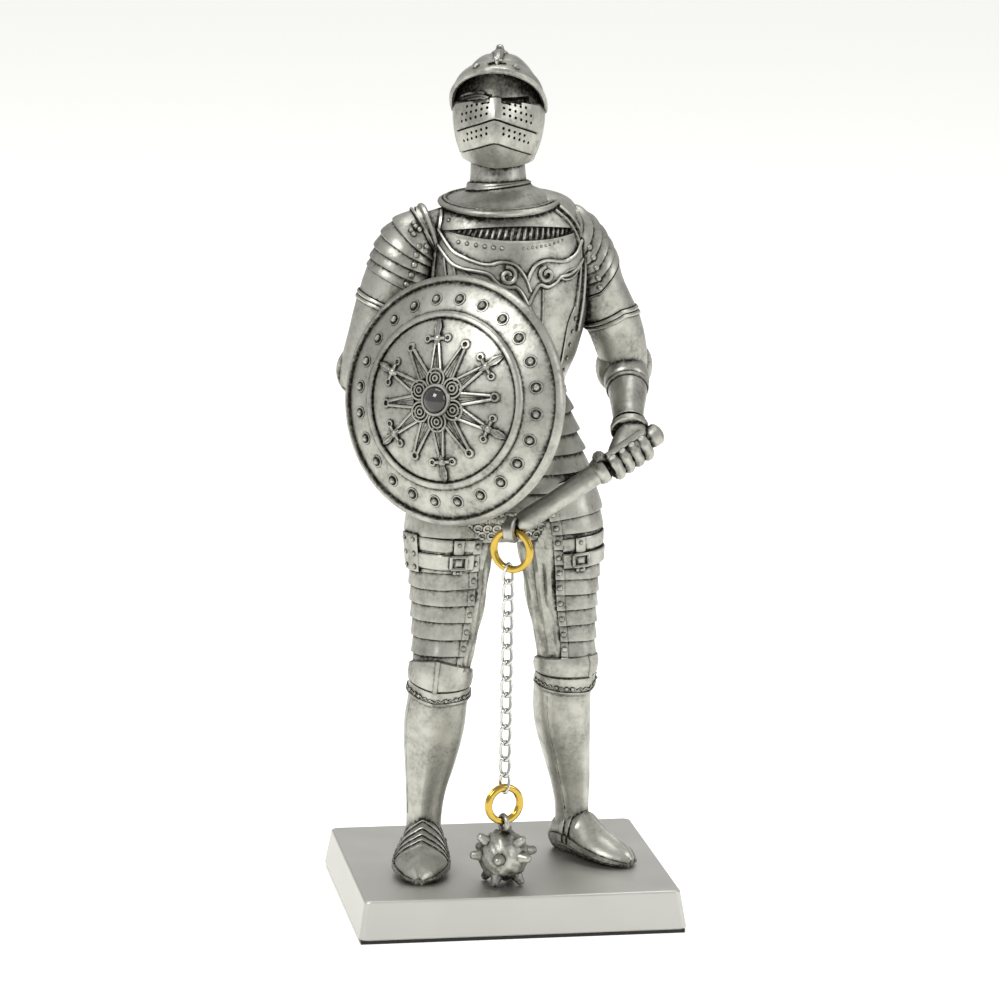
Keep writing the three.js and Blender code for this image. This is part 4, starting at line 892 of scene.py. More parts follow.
casting += arm_harness(right_arm, right_forearm, 30, 270, 0.6, [
    (108.3, 0), *arm_band(117.8), (121, 0.1), (123.7, 0.1), *lames(123.8, 133.3, 5, 0.4, 0.0, 30, 270),
    (134.0, 0.0, 30, 270), (134.1, -0.1, 30, 270), (134.15, 0.35, 30, 270), (134.9, 0.2, 30, 270),
    (134.95, -0.8, 30, 270), (135, -3, 30, 270),
], [
    (133.2, 66), (132.3, 60), (132.0, 74), (130.5, 66), (128.6, 60), (126.7, 58), (124.8, 60),
], [
    (0, 0.6), (0.05, 0.75), (0.2, 0.75), (0.25, 0.6), (0.26, 0), (0.6, 0), (3, 0),
])
casting.append(cord_on(right_arm, [(134.9, a) for a in range(24, 216, 8)], 0.75, 0.1, 8))
casting.append(cord_on(right_arm, [(133.9, a) for a in range(24, 216, 8)], 0.3, 0.25))
casting.append(rod([(-19.5, 2, 131.5), (-15.5, 2.2, 133.3), (-11.5, 2.2, 134.5)], [4.0, 4.6, 4.6], 20))
casting += rivets_on(right_arm, [
    (133.1, 118), (133.0, 110), (133.2, 102), (132.2, 106), (132.1, 98),
], 0.6, 0.5, 0.2)
casting += arm_harness(left_arm, left_forearm, -90, 150, -3.0, [
    (108.3, 0), *arm_band(115.6, 1.9), (119, 0.1), (125.7, 0.1), (125.8, 0.35), (125.9, 0.4),
    *lames(126.1, 137.6, 6, 0.4, 0.0, -90, 150), (138.0, 0, -90, 150), (138.4, -0.5, -90, 150),
], [
    (133.6, 98), (132.0, 102), (130.2, 106), (128.4, 110), (126.8, 113),
], [
    (0, 0.5), (0.05, 0.8), (0.3, 0.8), (0.35, 0.6), (0.36, 0.0), (0.5, 0), (0.52, 0.35), (0.62, 0.35),
    (0.64, 0),
    (1.3, 0), (2.0, 0.05), (2.03, -0.1), (2.05, 0.35), (2.12, 0.4), (2.18, 0.1), (2.22, 0.35), (2.32, 0.5),
    (2.5, 0.45),
    (3, 0),
])

# The flail's handle, cast in one with the fist: a plain shaft with a collar, a slim grip and a round
# pommel. The left fist closes round the grip, and the right one holds the bar behind the shield.
EYE_AT = np.array((-2.2, -17.5, 75.0))
POMMEL_AT = np.array((28.4, -13.0, 93.6))
EYE_TURN = math.radians(-35)
EYE_AXIS = np.array((math.cos(EYE_TURN), math.sin(EYE_TURN), 0))
EYE_DIAMETER = 5.4
EYE_HOLE = 2.4
EYE_THICKNESS = 2.2
handle = POMMEL_AT - EYE_AT
handle_length = float(np.linalg.norm(handle))
handle_profile = [(1.2, 1.4), (1.8, 1.8), (2.6, 2.1), (4.4, 2.25)]
for share, radius in (
    (0.3, 2.1), (0.57, 2.2), (0.58, 2.6), (0.6, 2.85), (0.63, 2.8), (0.645, 2.2), (0.66, 1.75), (0.7, 1.55),
    (0.88, 1.5), (0.925, 1.7), (0.94, 2.1), (0.96, 2.3), (1, 2.25),
):
    handle_profile.append((handle_length * share, radius))
handle_profile += [(handle_length + past, radius) for past, radius in ((0.5, 1.9), (0.9, 1.1), (1.0, 0.3))]
casting.append(turned(EYE_AT, handle, handle_profile, 32))


def eye_lug():
    """The lug under the shaft's end, with its round eye, as one closed ring."""
    u = np.array((0, 0, 1.0))
    v = np.cross(EYE_AXIS, u)
    inner, outer, half = EYE_HOLE / 2, EYE_DIAMETER / 2, EYE_THICKNESS / 2
    profile = [
        (inner + 0.15, -half), (outer - 0.3, -half), (outer, -half + 0.3), (outer, half - 0.3),
        (outer - 0.3, half), (inner + 0.15, half), (inner, half - 0.15), (inner, -half + 0.15),
    ]
    sides = 28
    points = []
    for i in range(sides):
        t = 2 * math.pi * i / sides
        out = u * math.sin(t) + v * math.cos(t)
        points += [EYE_AT + out * r + EYE_AXIS * h for r, h in profile]
    return ring_skin(points, sides, len(profile))


casting.append(eye_lug())


FINGER_PITCH = 2.35
FINGER_RADIUS = 1.25
THUMB_RADIUS = 1.32


def fist(centre, along, wrist, grip, up, gauntlet):
    """A closed fist: four fingers and a thumb round the grip, knuckle plates and the back of the hand."""
    w = unit(along)
    out = unit(up - w * (up @ w))
    side = np.cross(w, out)
    pitch = FINGER_PITCH
    finger = FINGER_RADIUS
    reach = grip + finger * 0.85

    def ring_point(offset, angle, r):
        a = math.radians(angle)
        return centre + w * offset + out * r * math.cos(a) + side * r * math.sin(a)

    made = []
    for i in range(4):
        offset = (i - 1.5) * pitch
        arc = [ring_point(offset, a, reach) for a in np.linspace(-25, 232, 22)]
        swell = [finger * (1 + 0.09 * math.sin(j * 1.9)) * (0.75 if j in (0, 21) else 1) for j in range(22)]
        made.append(rod(arc, swell, 10))
        joint = ring_point(offset, -6, reach + finger * 0.4)
        made.append(dome(joint, ring_point(0, -6, 1) - centre, 1.05, 1.0, 12))
    turns = enumerate(np.linspace(-20, -200, 14))
    thumb = [ring_point(-2.35 * pitch + j * 0.06, a, reach) for j, a in turns]
    swell = [THUMB_RADIUS * (1 + 0.08 * math.sin(j * 1.6)) * (0.7 if j == 13 else 1) for j in range(14)]
    made.append(rod(thumb, swell, 10))
    knuckle = ring_point(0, -8, reach * 1.05)
    palm = ring_point(0, -120, reach * 0.9)
    across = unit(np.cross(w, knuckle - wrist))
    hand = []
    for t, thick, wide in (
        (0, 2.6, 3.0), (0.2, 2.7, 3.6), (0.4, 2.6, 4.3), (0.6, 2.45, 4.7), (0.8, 2.1, 4.9),
        (0.94, 1.8, 4.95),
        (1, 1.2, 4.6),
    ):
        hand.append(wrist + (knuckle - wrist) * t + circle(w * wide, across * thick, 24))
    made.append(tube(hand))
    made.append(rod([wrist, (wrist + palm) / 2, palm], [2.5, 2.3, 2.0], 12))
    if gauntlet:
        crest = [ring_point(o, -14, reach + 1.25) for o in np.linspace(-1.9 * pitch, 1.9 * pitch, 9)]
        made.append(rod(crest, 0.65, 8))
        shell = (wrist + knuckle) / 2 + across * 0.9
        made += [dome(shell, across * way, 3.7, 2.5, 28, 0.6) for way in (1, -1)]
    return made


SHIELD_NORMAL = unit((-0.626, -0.763, 0.159))
FIST_SHARE = 0.79
LEFT_FIST_UP = np.array((0, -0.8, 0.6))
RIGHT_FIST_AT = np.array((-6.8, -15.2, 103.4))
left_wrist = left_forearm.value(0.1)[1:4]
right_wrist = right_forearm.value(0.1)[1:4]
casting += fist(EYE_AT + handle * FIST_SHARE, handle, left_wrist, 1.5, LEFT_FIST_UP, True)
casting += fist(RIGHT_FIST_AT, (0.1, 0.12, 1), right_wrist, 1.0, SHIELD_NORMAL, False)

# The casting's helmet: a rounded skull with a low comb, a two-part visor pierced with breaths, and a raised
# peak that arches over the face and leaves a deep shadow under it.
HEAD_TURN = 13.5
helm = Limb(facing(-HEAD_TURN), [
    [0, -3.1, 2.0, 143.5, 5.6, 5.8, 6.2, 0.1],
    [1, -3.1, 2.0, 147.8, 5.6, 5.9, 6.6, 0.1],
    [2, -3.1, 1.8, 149.6, 7.7, 9.8, 8.8, 0.3],
    [3, -3.1, 1.6, 152.6, 8.8, 12.3, 10.4, 0.36],
    [4, -3.1, 1.5, 156.6, 9.4, 12.8, 11.0, 0.34],
    [5, -3.1, 1.5, 160.6, 9.2, 11.4, 11.0, 0.22],
    [6, -3.1, 1.5, 164.0, 7.9, 9.4, 9.8, 0.08],
    [7, -3.1, 1.5, 167.0, 6.0, 8.0, 7.6, 0],
    [8, -3.1, 1.5, 169.2, 3.6, 5.2, 4.6, 0],
    [9, -3.1, 1.5, 170.0, 0.8, 1.0, 1.0, 0],
])
FACE = (33, 146)
VISOR_HIGH = -0.5
VISOR_MIDDLE = -0.78
VISOR_LOW = -0.9


def visor_line(s, rise, angle):
    """Where a line of the visor runs: it peaks at the middle ridge."""
    return s - rise * (1 - np.abs(2 * (angle - FACE[0]) / (FACE[1] - FACE[0]) - 1))


def brow(s, angle):
    """The dark eye slot under the peak, left of the ridge's line, and a shallow dish on the other side."""
    slot = (angle > 42) & (angle < 84) & (s > 5.04) & (s < 5.42)
    dish = (angle > 96) & (angle < 142) & (s > 5.04) & (s < 5.6)
    return np.where(slot, -1.3, 0.0) + np.where(dish, -0.5, 0.0)


helm_rows = [(0, 0), (1, 0), (1.5, 0.05), (1.6, 0.25), (1.75, 0.45)]
for rise, lines in (
    (VISOR_LOW, ((2.3, 0.4), (2.34, 0.25), (2.36, 0.1), (2.38, 0.7), (2.42, 0.85))),
    (VISOR_MIDDLE, ((3.45, 0.8), (3.49, 0.4), (3.51, 0.35), (3.53, 0.95), (3.57, 1.1))),
    (VISOR_HIGH, ((4.8, 0.95), (4.88, 0.7), (4.9, -0.3))),
):
    helm_rows += [(s, lift, *FACE, rise) for s, lift in lines]
helm_rows += [(s, -0.3) for s in (5.02, 5.04, 5.42, 5.44)] + [(5.6, -0.2), (5.62, -0.2)]
helm_rows += [(s, 0) for s in (6.2, 7, 8, 9)]
skull = coat(helm, columns([*FACE, 42, 84, 96, 142], 84), helm_rows, 0.16, brow)
breaths = []
UPPER_BREATHS = ((0.25, 6), (0.5, 6), (0.75, 5))
LOWER_BREATHS = ((0.5, 6), (0.76, 5))
for low, high, low_rise, high_rise, plate_rows in (
    (3.55, 4.88, VISOR_MIDDLE, VISOR_HIGH, UPPER_BREATHS),
    (2.4, 3.47, VISOR_LOW, VISOR_MIDDLE, LOWER_BREATHS),
):
    for share, count in plate_rows:
        for i in range(count):
            for half in (-1, 1):
                angle = 89.5 + half * (8 + 6.6 * i)
                bottom = visor_line(low, low_rise, angle)
                s = float(bottom + (visor_line(high, high_rise, angle) - bottom) * share)
                way = helm.normal(s, math.radians(angle))
                breaths.append(turned(helm.at(s, angle, -0.9), way, [(0, 0.32), (3, 0.32)], 10))


def cut(shell, tools):
    """Cuts closed tools out of a closed shell and returns the shell that is left."""
    body = make_piece("cut_body", [shell], polished)
    tool = make_piece("cut_tool", tools, polished)
    boolean = body.modifiers.new("cut", "BOOLEAN")
    boolean.operation = "DIFFERENCE"
    boolean.object = tool
    boolean.solver = "MANIFOLD"
    bpy.context.view_layer.update()
    left = body.evaluated_get(bpy.context.evaluated_depsgraph_get()).to_mesh()
    points = np.array([v.co for v in left.vertices], float) / MM
    faces = [tuple(p.vertices) for p in left.polygons]
    bpy.data.objects.remove(body)
    bpy.data.objects.remove(tool)
    return points, faces


casting.append(cut(skull, breaths))
comb = [(7.3 + 1.6 * t, 90) for t in np.linspace(0, 1, 6)]
comb += [(8.9 - 4.1 * t, 270) for t in np.linspace(0.02, 1, 18)]
casting.append(rod([helm.at(s, a, 0) for s, a in comb], [0.6] + [1.0] * 22 + [0.6], 10))
crown = helm.value(9)[1:4]
casting.append(turned(crown + np.array((0, 0, -1.4)), (0, 0, 1), [
    (0, 2.0), (0.9, 1.9), (1.5, 1.65), (1.9, 1.0), (2.3, 0.8), (2.7, 0.75), (3.0, 0.45), (3.1, 0.15),
], 20))


def peak_edge(share, drop, count=40):
    """A line across the peak: share 0 is its root on the skull and share 1 its free edge."""
    side, ahead, _ = helm.frame(5)
    c = helm.value(5)[1:4]
    made = []
    for a in np.linspace(-1.75, 1.75, count):
        front = max(0.0, math.cos(a * 0.88))
        root = (8.0 * math.sin(a), 5.5 * front - 1.2, 162.0 + 6.6 * front ** 1.5)
        edge = (9.4 * math.sin(a), 15.6 * front ** 0.9 - 1.4, 158.2 + 10.1 * front ** 0.95)
        bulge = math.sin(math.pi * share)
        x, f, z = (r + (e - r) * share for r, e in zip(root, edge))
        point = np.array((c[0], c[1], 0)) + side * x * (1 + 0.03 * bulge) + ahead * f
        point[2] = z + bulge - drop
        made.append(point)
    return made


shares = np.linspace(0, 1, 12)
casting.append(grid_slab(
    np.array([peak_edge(t, 0) for t in shares]),
    np.array([peak_edge(t, 1.1 + 1.1 * max(0, 1 - t / 0.3)) for t in shares]),
))
casting.append(rod(peak_edge(0.97, 0.5), 0.62, 8))
casting += rivets_on(helm, [(4.0, 152), (2.95, 152), (4.0, 27), (2.95, 27)], 0.55, 0.35, 0.1)
brim = np.array(peak_edge(0.8, 0, 41))
for i in (15, 25):
    casting.append(dome(brim[i], (0, -0.5, 0.85), 0.75, 0.55, 12))
crest = np.array(peak_edge(0.72, 0, 41))[20]
casting.append(dome(crest, (0, -0.5, 0.85), 0.8, 0.9, 10))
for reach in ((-1.9, -0.9, -0.1), (1.9, -0.9, -0.1), (0, -1.6, -0.6), (0, 1.4, 0.7)):
    tip = crest + np.array(reach)
    casting.append(rod([crest, crest * 0.45 + tip * 0.55 + (0, 0, 0.25), tip], [0.55, 0.5, 0.12], 7))
for route in (
    [(5.06, 143), (5.2, 133), (5.36, 122), (5.42, 110), (5.34, 100)],
    [(5.3, 145), (5.5, 134), (5.62, 120), (5.6, 106)],
    [(5.12, 128), (5.22, 118), (5.3, 108), (5.2, 101), (5.1, 106), (5.14, 112)],
):
    casting.append(cord_on(helm, route, 0.4, -0.2))

# Where the pewter was rubbed back it is a soft, warm grey with a satin gloss. The patina that is left in
# the grooves is dark and dull, and it thins out in clouds over the flat places. The same dark tone over broad
# hollows, and where the shield and other parts crowd the surface, is painted shade.
GROOVE_REACH = 1.3
PAINTED_SHADE_REACH = 6.0
CLOUD = 5.0
SPECKLE = 0.7
pewter, tree, surface, place = new_material("antiqued_pewter_and_painted_shade")
groove = add_node(tree, "AmbientOcclusion", {"Distance": GROOVE_REACH * MM}, samples=12, only_local=True)
# A wider occlusion, which also counts the shield and other parts, darkens broad hollows and crowded places:
# this is painted shade.
painted_shade_occlusion = add_node(tree, "AmbientOcclusion", {"Distance": PAINTED_SHADE_REACH * MM}, samples=12)
clouds = clouds_of(tree, place, CLOUD, 6.0, 0.65)
speckle = clouds_of(tree, place, SPECKLE, 3.0)
in_grooves = spread(tree, groove.outputs["AO"], 0.4, 0.96, 1.15, 0.0)
painted_shade_in_hollows = spread(tree, painted_shade_occlusion.outputs["AO"], 0.25, 0.92, 0.75, 0.0)
mottle = spread(tree, clouds, 0.38, 0.7, 0.02, 0.5)
patina_plus_painted_shade = add_node(tree, "Math", {0: in_grooves, 1: painted_shade_in_hollows}, operation="ADD")
patina_and_shade_clouded = add_node(tree, "Math", {0: patina_plus_painted_shade.outputs[0], 1: mottle}, operation="ADD", use_clamp=True)
grit = spread(tree, speckle, 0.3, 0.7, 0.6, 1.4)
mottled = add_node(tree, "Math", {0: patina_and_shade_clouded.outputs[0], 1: grit}, operation="MULTIPLY", use_clamp=True)
patina_and_painted_shade = mottled.outputs[0]
skin = bumps(tree, speckle, 0.2, 0.1)
# The dark end of the colour is real patina in the grooves and painted shade in the broad hollows.
coat_surface(tree, surface, {
    "Base Color": blend(tree, patina_and_painted_shade, "#bfbeb5", "#33322d"), "Metallic": 1.0,
    "Roughness": spread(tree, patina_and_painted_shade, 0.0, 1.0, 0.36, 0.62),
    "Normal": bumps(tree, clouds, 0.25, 0.35, Normal=skin),
})

standing = [(points + np.array((0, 0, PLINTH_TOP)), faces) for points, faces in casting]
knight = make_piece("knight_casting", standing, pewter, 32)
for vertex in knight.data.vertices:
    vertex.co.z = max(vertex.co.z, PLINTH_TOP * MM)
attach(knight, "root")
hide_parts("knight")

# The shield: a round dome cast in pewter with a rolled rim, a ring of rivets, a raised ring, and six short
# swords and six plain rays round a rosette. It is strapped to the right forearm.
SHIELD_RADIUS = 25.2
SHIELD_RISE = 6.6
SHIELD_WALL = 1.6
SHIELD_RIM = 1.5
SHIELD_AT = np.array((-15.3, -20.7, 111.3))
SHIELD_ROLL = math.radians(8.6)
FIELD_RADIUS = SHIELD_RADIUS * 0.7
RIVETS = 24
RAYS = 12
RAY_ROOT = 5.4
LOBES = 6
LOBE_AT = 4.35
BAR_SINK = 0.3
STONE_RADIUS = 2.6
shield_right = unit((-SHIELD_NORMAL[1], SHIELD_NORMAL[0], 0))
shield_up = np.cross(SHIELD_NORMAL, shield_right)
dome_radius = (SHIELD_RADIUS ** 2 + SHIELD_RISE ** 2) / (2 * SHIELD_RISE)


def dome_height(r):
    return np.sqrt(np.maximum(0, dome_radius ** 2 - np.square(r))) - (dome_radius - SHIELD_RISE)


def on_shield(x, y, over):
    """A point over the dome's surface, from its place on the face."""
    x, y, over = np.broadcast_arrays(np.asarray(x, float), np.asarray(y, float), np.asarray(over, float))
    c, s = math.cos(SHIELD_ROLL), math.sin(SHIELD_ROLL)
    height = dome_height(np.hypot(x, y)) + over
    return (
        SHIELD_AT + (x * c - y * s)[..., None] * shield_right + (x * s + y * c)[..., None] * shield_up
        + height[..., None] * SHIELD_NORMAL
    )


turns = np.arange(144) * 2 * math.pi / 144
shield_profile = [(0.02, 0), (4, 0), (8, 0), (12, 0), (16, 0)]
shield_profile += [(FIELD_RADIUS + out, over) for out, over in (
    (-1.5, 0), (-1.12, -0.15), (-1.05, 0.35), (-0.85, 0.6), (-0.4, 0.72), (0, 0.6), (0.25, 0.35),
    (0.32, -0.15),
    (0.6, -0.1), (1.2, 0),
)]
shield_profile += [(SHIELD_RADIUS - inset, over) for inset, over in (
    (SHIELD_RIM + 1, 0), (SHIELD_RIM + 0.05, -0.1), (SHIELD_RIM - 0.05, 0.15), (SHIELD_RIM - 0.35, 0.62),
    (1.0, 0.8), (0.4, 0.6), (0.05, 0.1), (0, -0.4), (0.2, -1.2), (1.5, -SHIELD_WALL),
)]
shield_profile += [(r, -SHIELD_WALL) for r in (18, 12, 6, 0.02)]
relief = [tube([on_shield(r * np.cos(turns), r * np.sin(turns), over) for r, over in shield_profile])]


def across_ray(angle, along, off, over):
    """A point over the dome, from its distance along a ray and its distance to one side of it."""
    c, s = math.cos(angle), math.sin(angle)
    return on_shield(along * c - off * s, along * s + off * c, over)


def bar(angle, stations):
    """A raised bar along a ray. A station is its distance, half width, height at the sides, and middle."""
    loops = []
    for along, wide, side_height, middle in stations:
        off = np.array((-1, -1, -0.55, 0, 0.55, 1, 1)) * wide
        over = np.array((-BAR_SINK, *[side_height] * 2, middle, *[side_height] * 2, -BAR_SINK))
        loops.append(across_ray(angle, along, off, over))
    return tube(loops)


def small_ring(x, y, radius, wire, lift=0.1, sides=16):
    """A raised ring on the shield's face."""
    points = []
    for i in range(sides):
        t = 2 * math.pi * i / sides
        for j in range(6):
            b = 2 * math.pi * j / 6
            r = radius + wire * math.cos(b)
            points.append(on_shield(x + r * math.cos(t), y + r * math.sin(t), lift + wire * math.sin(b)))
    return ring_skin(points, sides, 6)


rivet_ring = FIELD_RADIUS + 0.46 * (SHIELD_RADIUS - SHIELD_RIM - FIELD_RADIUS)
for i in range(RIVETS):
    a = 2 * math.pi * (i + 0.3) / RIVETS
    x, y = rivet_ring * math.cos(a), rivet_ring * math.sin(a)
    relief.append(dome(on_shield(x, y, 0.1), SHIELD_NORMAL, 0.72, 0.7, 14))
    relief.append(small_ring(x, y, 1.12, 0.2, -0.04, 20))
for i in range(RAYS):
    a = math.pi / 2 + 2 * math.pi * i / RAYS
    ray_end = FIELD_RADIUS * (0.665 if i % 2 else 0.64)
    # Each ray is a slim hollow wedge: two raised edges with a sunk middle.
    for half in (-1, 1):
        route = []
        for t in np.linspace(0, 1, 7):
            route.append(across_ray(a, RAY_ROOT + (ray_end - RAY_ROOT) * t, half * (1.15 - 0.75 * t), 0.14))
        relief.append(rod(route, 0.36, 8))
    relief.append(bar(a,
        [(5.2, 0.8, 0.3, 0.62), (ray_end * 0.7, 0.36, 0.3, 0.58), (ray_end, 0.2, 0.2, 0.4)]))
    if i % 2:
        x, y = (ray_end + 0.75) * math.cos(a), (ray_end + 0.75) * math.sin(a)
        relief.append(small_ring(x, y, 0.72, 0.34))
        continue
    guard = FIELD_RADIUS * 0.7
    relief.append(bar(a, [
        (ray_end - 0.3, 0.4, 0.4, 0.7), (guard - 0.6, 0.55, 0.45, 0.75), (guard + 0.6, 0.55, 0.45, 0.75),
        (guard + 0.9, 0.45, 0.45, 0.75), (guard + 2.1, 0.8, 0.5, 0.95),
        (FIELD_RADIUS - 2.2, 0.6, 0.45, 0.85),
        (FIELD_RADIUS - 1.2, 0.15, 0.3, 0.5),
    ]))
    x, y = guard * math.cos(a), guard * math.sin(a)
    relief.append(dome(on_shield(x, y, 0.2), SHIELD_NORMAL, 0.85, 0.65, 14))
    for half in (-1, 1):
        relief.append(rod(across_ray(a, guard, np.linspace(0.3, 1.7, 5) * half, 0.25), 0.36, 8))
        off = half * 2.3
        x, y = guard * math.cos(a) - off * math.sin(a), guard * math.sin(a) + off * math.cos(a)
        relief.append(small_ring(x, y, 0.58, 0.3))
        relief.append(dome(on_shield(x, y, -0.1), SHIELD_NORMAL, 0.3, 0.4, 8))
for i in range(LOBES):
    a = math.pi / 2 + 2 * math.pi * i / LOBES
    x, y = LOBE_AT * math.cos(a), LOBE_AT * math.sin(a)
    relief.append(dome(on_shield(x, y, -0.3), SHIELD_NORMAL, 2.15, 0.62, 24))
    for radius, wire, lift, sides in ((1.95, 0.32, 0.25, 28), (1.2, 0.26, 0.34, 22), (0.5, 0.26, 0.45, 14)):
        relief.append(small_ring(x, y, radius, wire, lift, sides))
relief.append(small_ring(0, 0, STONE_RADIUS + 0.35, 0.42, 0.55, 40))
relief.append(tube([
    on_shield(r * np.cos(turns), r * np.sin(turns), h) for r, h in ((2.9, -0.5), (2.9, 0.5), (0.02, 0.5))
]))

# The arm brace behind it: a strap round the forearm and a stout root that joins it to the dome.
BRACE_AT = 1.75
brace_centre = right_forearm.value(BRACE_AT)[1:4] + np.array((0, 0, PLINTH_TOP))
brace_side, brace_up, brace_along = right_forearm.frame(BRACE_AT)
brace_width, brace_fore, brace_back = right_forearm.value(BRACE_AT)[4:7]
BRACE_SIDES = 40
turns = np.arange(BRACE_SIDES) * 2 * math.pi / BRACE_SIDES


def brace_loop(grow, shift):
    depth = np.where(np.sin(turns) > 0, brace_fore, brace_back) * 1.08 + grow
    return (
        brace_centre + brace_side * (np.cos(turns) * (brace_width * 1.08 + grow))[:, None]
        + brace_up * (np.sin(turns) * depth)[:, None] + brace_along * shift
    )


strap = [brace_loop(grow, shift) for grow, shift in ((0.25, -2.1), (1.2, -2.1), (1.2, 2.1), (0.25, 2.1))]
relief.append(ring_skin(np.concatenate(strap), len(strap), BRACE_SIDES))
offset = brace_centre - SHIELD_AT
root_x, root_y = offset @ shield_right, offset @ shield_up
root_flat = math.hypot(root_x, root_y)
root_height = dome_height(root_flat) - 0.8
root = SHIELD_AT + shield_right * root_x + shield_up * root_y + SHIELD_NORMAL * root_height
inward = unit(brace_centre - root)
root_path = [root, root + inward * 2.4, brace_centre - inward * (brace_width + 0.2)]
relief.append(rod(root_path, [3.4, 3.0, 2.6], 24))
shield = make_piece("round_shield", relief, pewter, 32)
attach(shield, "root")
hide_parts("shield")

# The stone: a round cabochon of smoky glass, set in the rosette's cup. It is almost black, with a clear
# gloss.
STONE_RISE = 2.1
smoky, tree, surface, place = new_material("smoky_glass_cabochon")
veil = clouds_of(tree, place, 2.5, 3.0)
coat_surface(tree, surface, {
    "Base Color": blend(tree, veil, "#1e1f1e", "#3c3d3b"), "Metallic": 0.0, "Roughness": 0.12, "IOR": 1.52,
    "Coat Weight": 0.4,
})
turns = np.arange(48) * 2 * math.pi / 48
cabochon = [on_shield(STONE_RADIUS * np.cos(turns), STONE_RADIUS * np.sin(turns), h) for h in (0.1, 0.55)]
for i in range(1, 9):
    t = math.radians(90 * i / 8.3)
    r = STONE_RADIUS * math.cos(t)
    cabochon.append(on_shield(r * np.cos(turns), r * np.sin(turns),
        0.55 + (STONE_RISE - 0.3) * math.sin(t)))
stone = make_piece("boss_cabochon", [tube(cabochon)], smoky, 60)
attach(stone, "root")
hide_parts("shield_stone")

# The jump rings: round brass wire, wound one and a half turns like a key ring, so that a fine groove shows
# between the coils. One hangs in the handle's eye and the other carries the ball.
RING_WIRE = 1.35
UPPER_RING_RADIUS = (9.4 - RING_WIRE) / 2
LOWER_RING_RADIUS = (8.5 - RING_WIRE) / 2
LOWER_TURN = math.radians(16)
brass, tree, surface, place = new_material("bright_gilt_brass")
# Lacquered yellow metal: bright, with a slight ripple from the drawing die.
ripple = clouds_of(tree, place, 1.2, 2.0)
coat_surface(tree, surface, {
    "Base Color": blend(tree, ripple, "#bd9c42", "#d3b75e"), "Metallic": 1.0, "Roughness": 0.2,
    "Normal": bumps(tree, ripple, 0.1, 0.05),
})


def torus(centre, flat, radius, wire, shift, around, sides, squash):
    """A closed ring of wire in the upright plane that holds flat, moved out of it by shift. squash narrows
    the wire across the plane."""
    flat = np.asarray(flat, float)
    up = np.array((0, 0, 1.0))
    side = np.cross(flat, up)
    points = []
    for i in range(around):
        t = 2 * math.pi * i / around
        out = flat * math.cos(t) + up * math.sin(t)
        for j in range(sides):
            b = 2 * math.pi * j / sides
            over = side * (shift + wire / 2 * squash * math.sin(b))
            points.append(centre + out * (radius + wire / 2 * math.cos(b)) + over)
    return ring_skin(points, around, sides)


def box_middle(node):
    low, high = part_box(node)
    return np.array((low + high) / 2) / MM


def jump_ring(name, node, flat, radius):
    """Two flat coils side by side, as wide together as the wire is thick."""
    shift = RING_WIRE * 0.52 / 2
    centre = box_middle(node)
    shells = [torus(centre, flat, radius, RING_WIRE, over, 72, 16, 0.55) for over in (-shift, shift)]
    made = make_piece(name, shells, brass, 50)
    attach(made, "root")
    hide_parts(node)


jump_ring("upper_jump_ring", "upper_ring", EYE_AXIS, UPPER_RING_RADIUS)
jump_ring("lower_jump_ring", "lower_ring", (math.cos(LOWER_TURN), math.sin(LOWER_TURN), 0),
    LOWER_RING_RADIUS)

# The chain: curb links of nickel-plated steel wire, each twisted a quarter turn so that the chain lies
# flat. Each link hangs in the one above it.
CHAIN_LINKS = 14
LINK_WIRE = 0.68
LINK_WIDTH = 2.6
nickel, tree, surface, place = new_material("nickel_plated_steel")
# A hard white mirror finish, a little darker where the links rub.
rubbed = clouds_of(tree, place, 0.8, 2.0)
coat_surface(tree, surface, {
    "Base Color": blend(tree, rubbed, "#b9b9b4", "#e0e0dc"), "Metallic": 1.0, "Roughness": 0.16,
})
link_low, link_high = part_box("chain_link_01")
last_low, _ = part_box(f"chain_link_{CHAIN_LINKS:02d}")
chain_top = link_high.z / MM
chain_bottom = last_low.z / MM
link_pitch = (chain_top - chain_bottom - 2 * LINK_WIRE) / CHAIN_LINKS
chain_at = box_middle("chain_link_07")
LINK_TURN_TOP = EYE_TURN + math.pi / 4
LINK_TURN_LOW = LOWER_TURN - math.pi / 4


def curb_link(middle_z, turn, pitch):
    """An oval of wire, twisted an eighth of a turn each way from its middle."""
    half = (pitch + LINK_WIRE) / 2
    wide = (LINK_WIDTH - LINK_WIRE) / 2
    straight = half - wide

    def middle(t):
        z = wide * math.sin(t) + straight * math.tanh(3 * math.sin(t))
        twist = turn + math.pi / 4 * z / half
        x = wide * math.cos(t)
        return np.array((chain_at[0] + x * math.cos(twist), chain_at[1] + x * math.sin(twist),
            middle_z + z))

    centre = np.array((chain_at[0], chain_at[1], middle_z))
    points = []
    around, sides = 40, 10
    for i in range(around):
        t = 2 * math.pi * i / around
        w = unit(middle(t + 0.05) - middle(t - 0.05))
        out = middle(t) - centre
        out = unit(out - w * (out @ w))
        points.extend(middle(t) + circle(out, np.cross(w, out), sides) * LINK_WIRE / 2)
    return ring_skin(points, around, sides)


for i in range(CHAIN_LINKS):
    node = f"chain_link_{i + 1:02d}"
    share = i / (CHAIN_LINKS - 1)
    turn = LINK_TURN_TOP + (LINK_TURN_LOW - LINK_TURN_TOP) * share
    shell = curb_link(box_middle(node)[2], turn, link_pitch)
    link = make_piece(f"curb_link_{i + 1:02d}", [shell], nickel, 60)
    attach(link, "root")
    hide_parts(node)

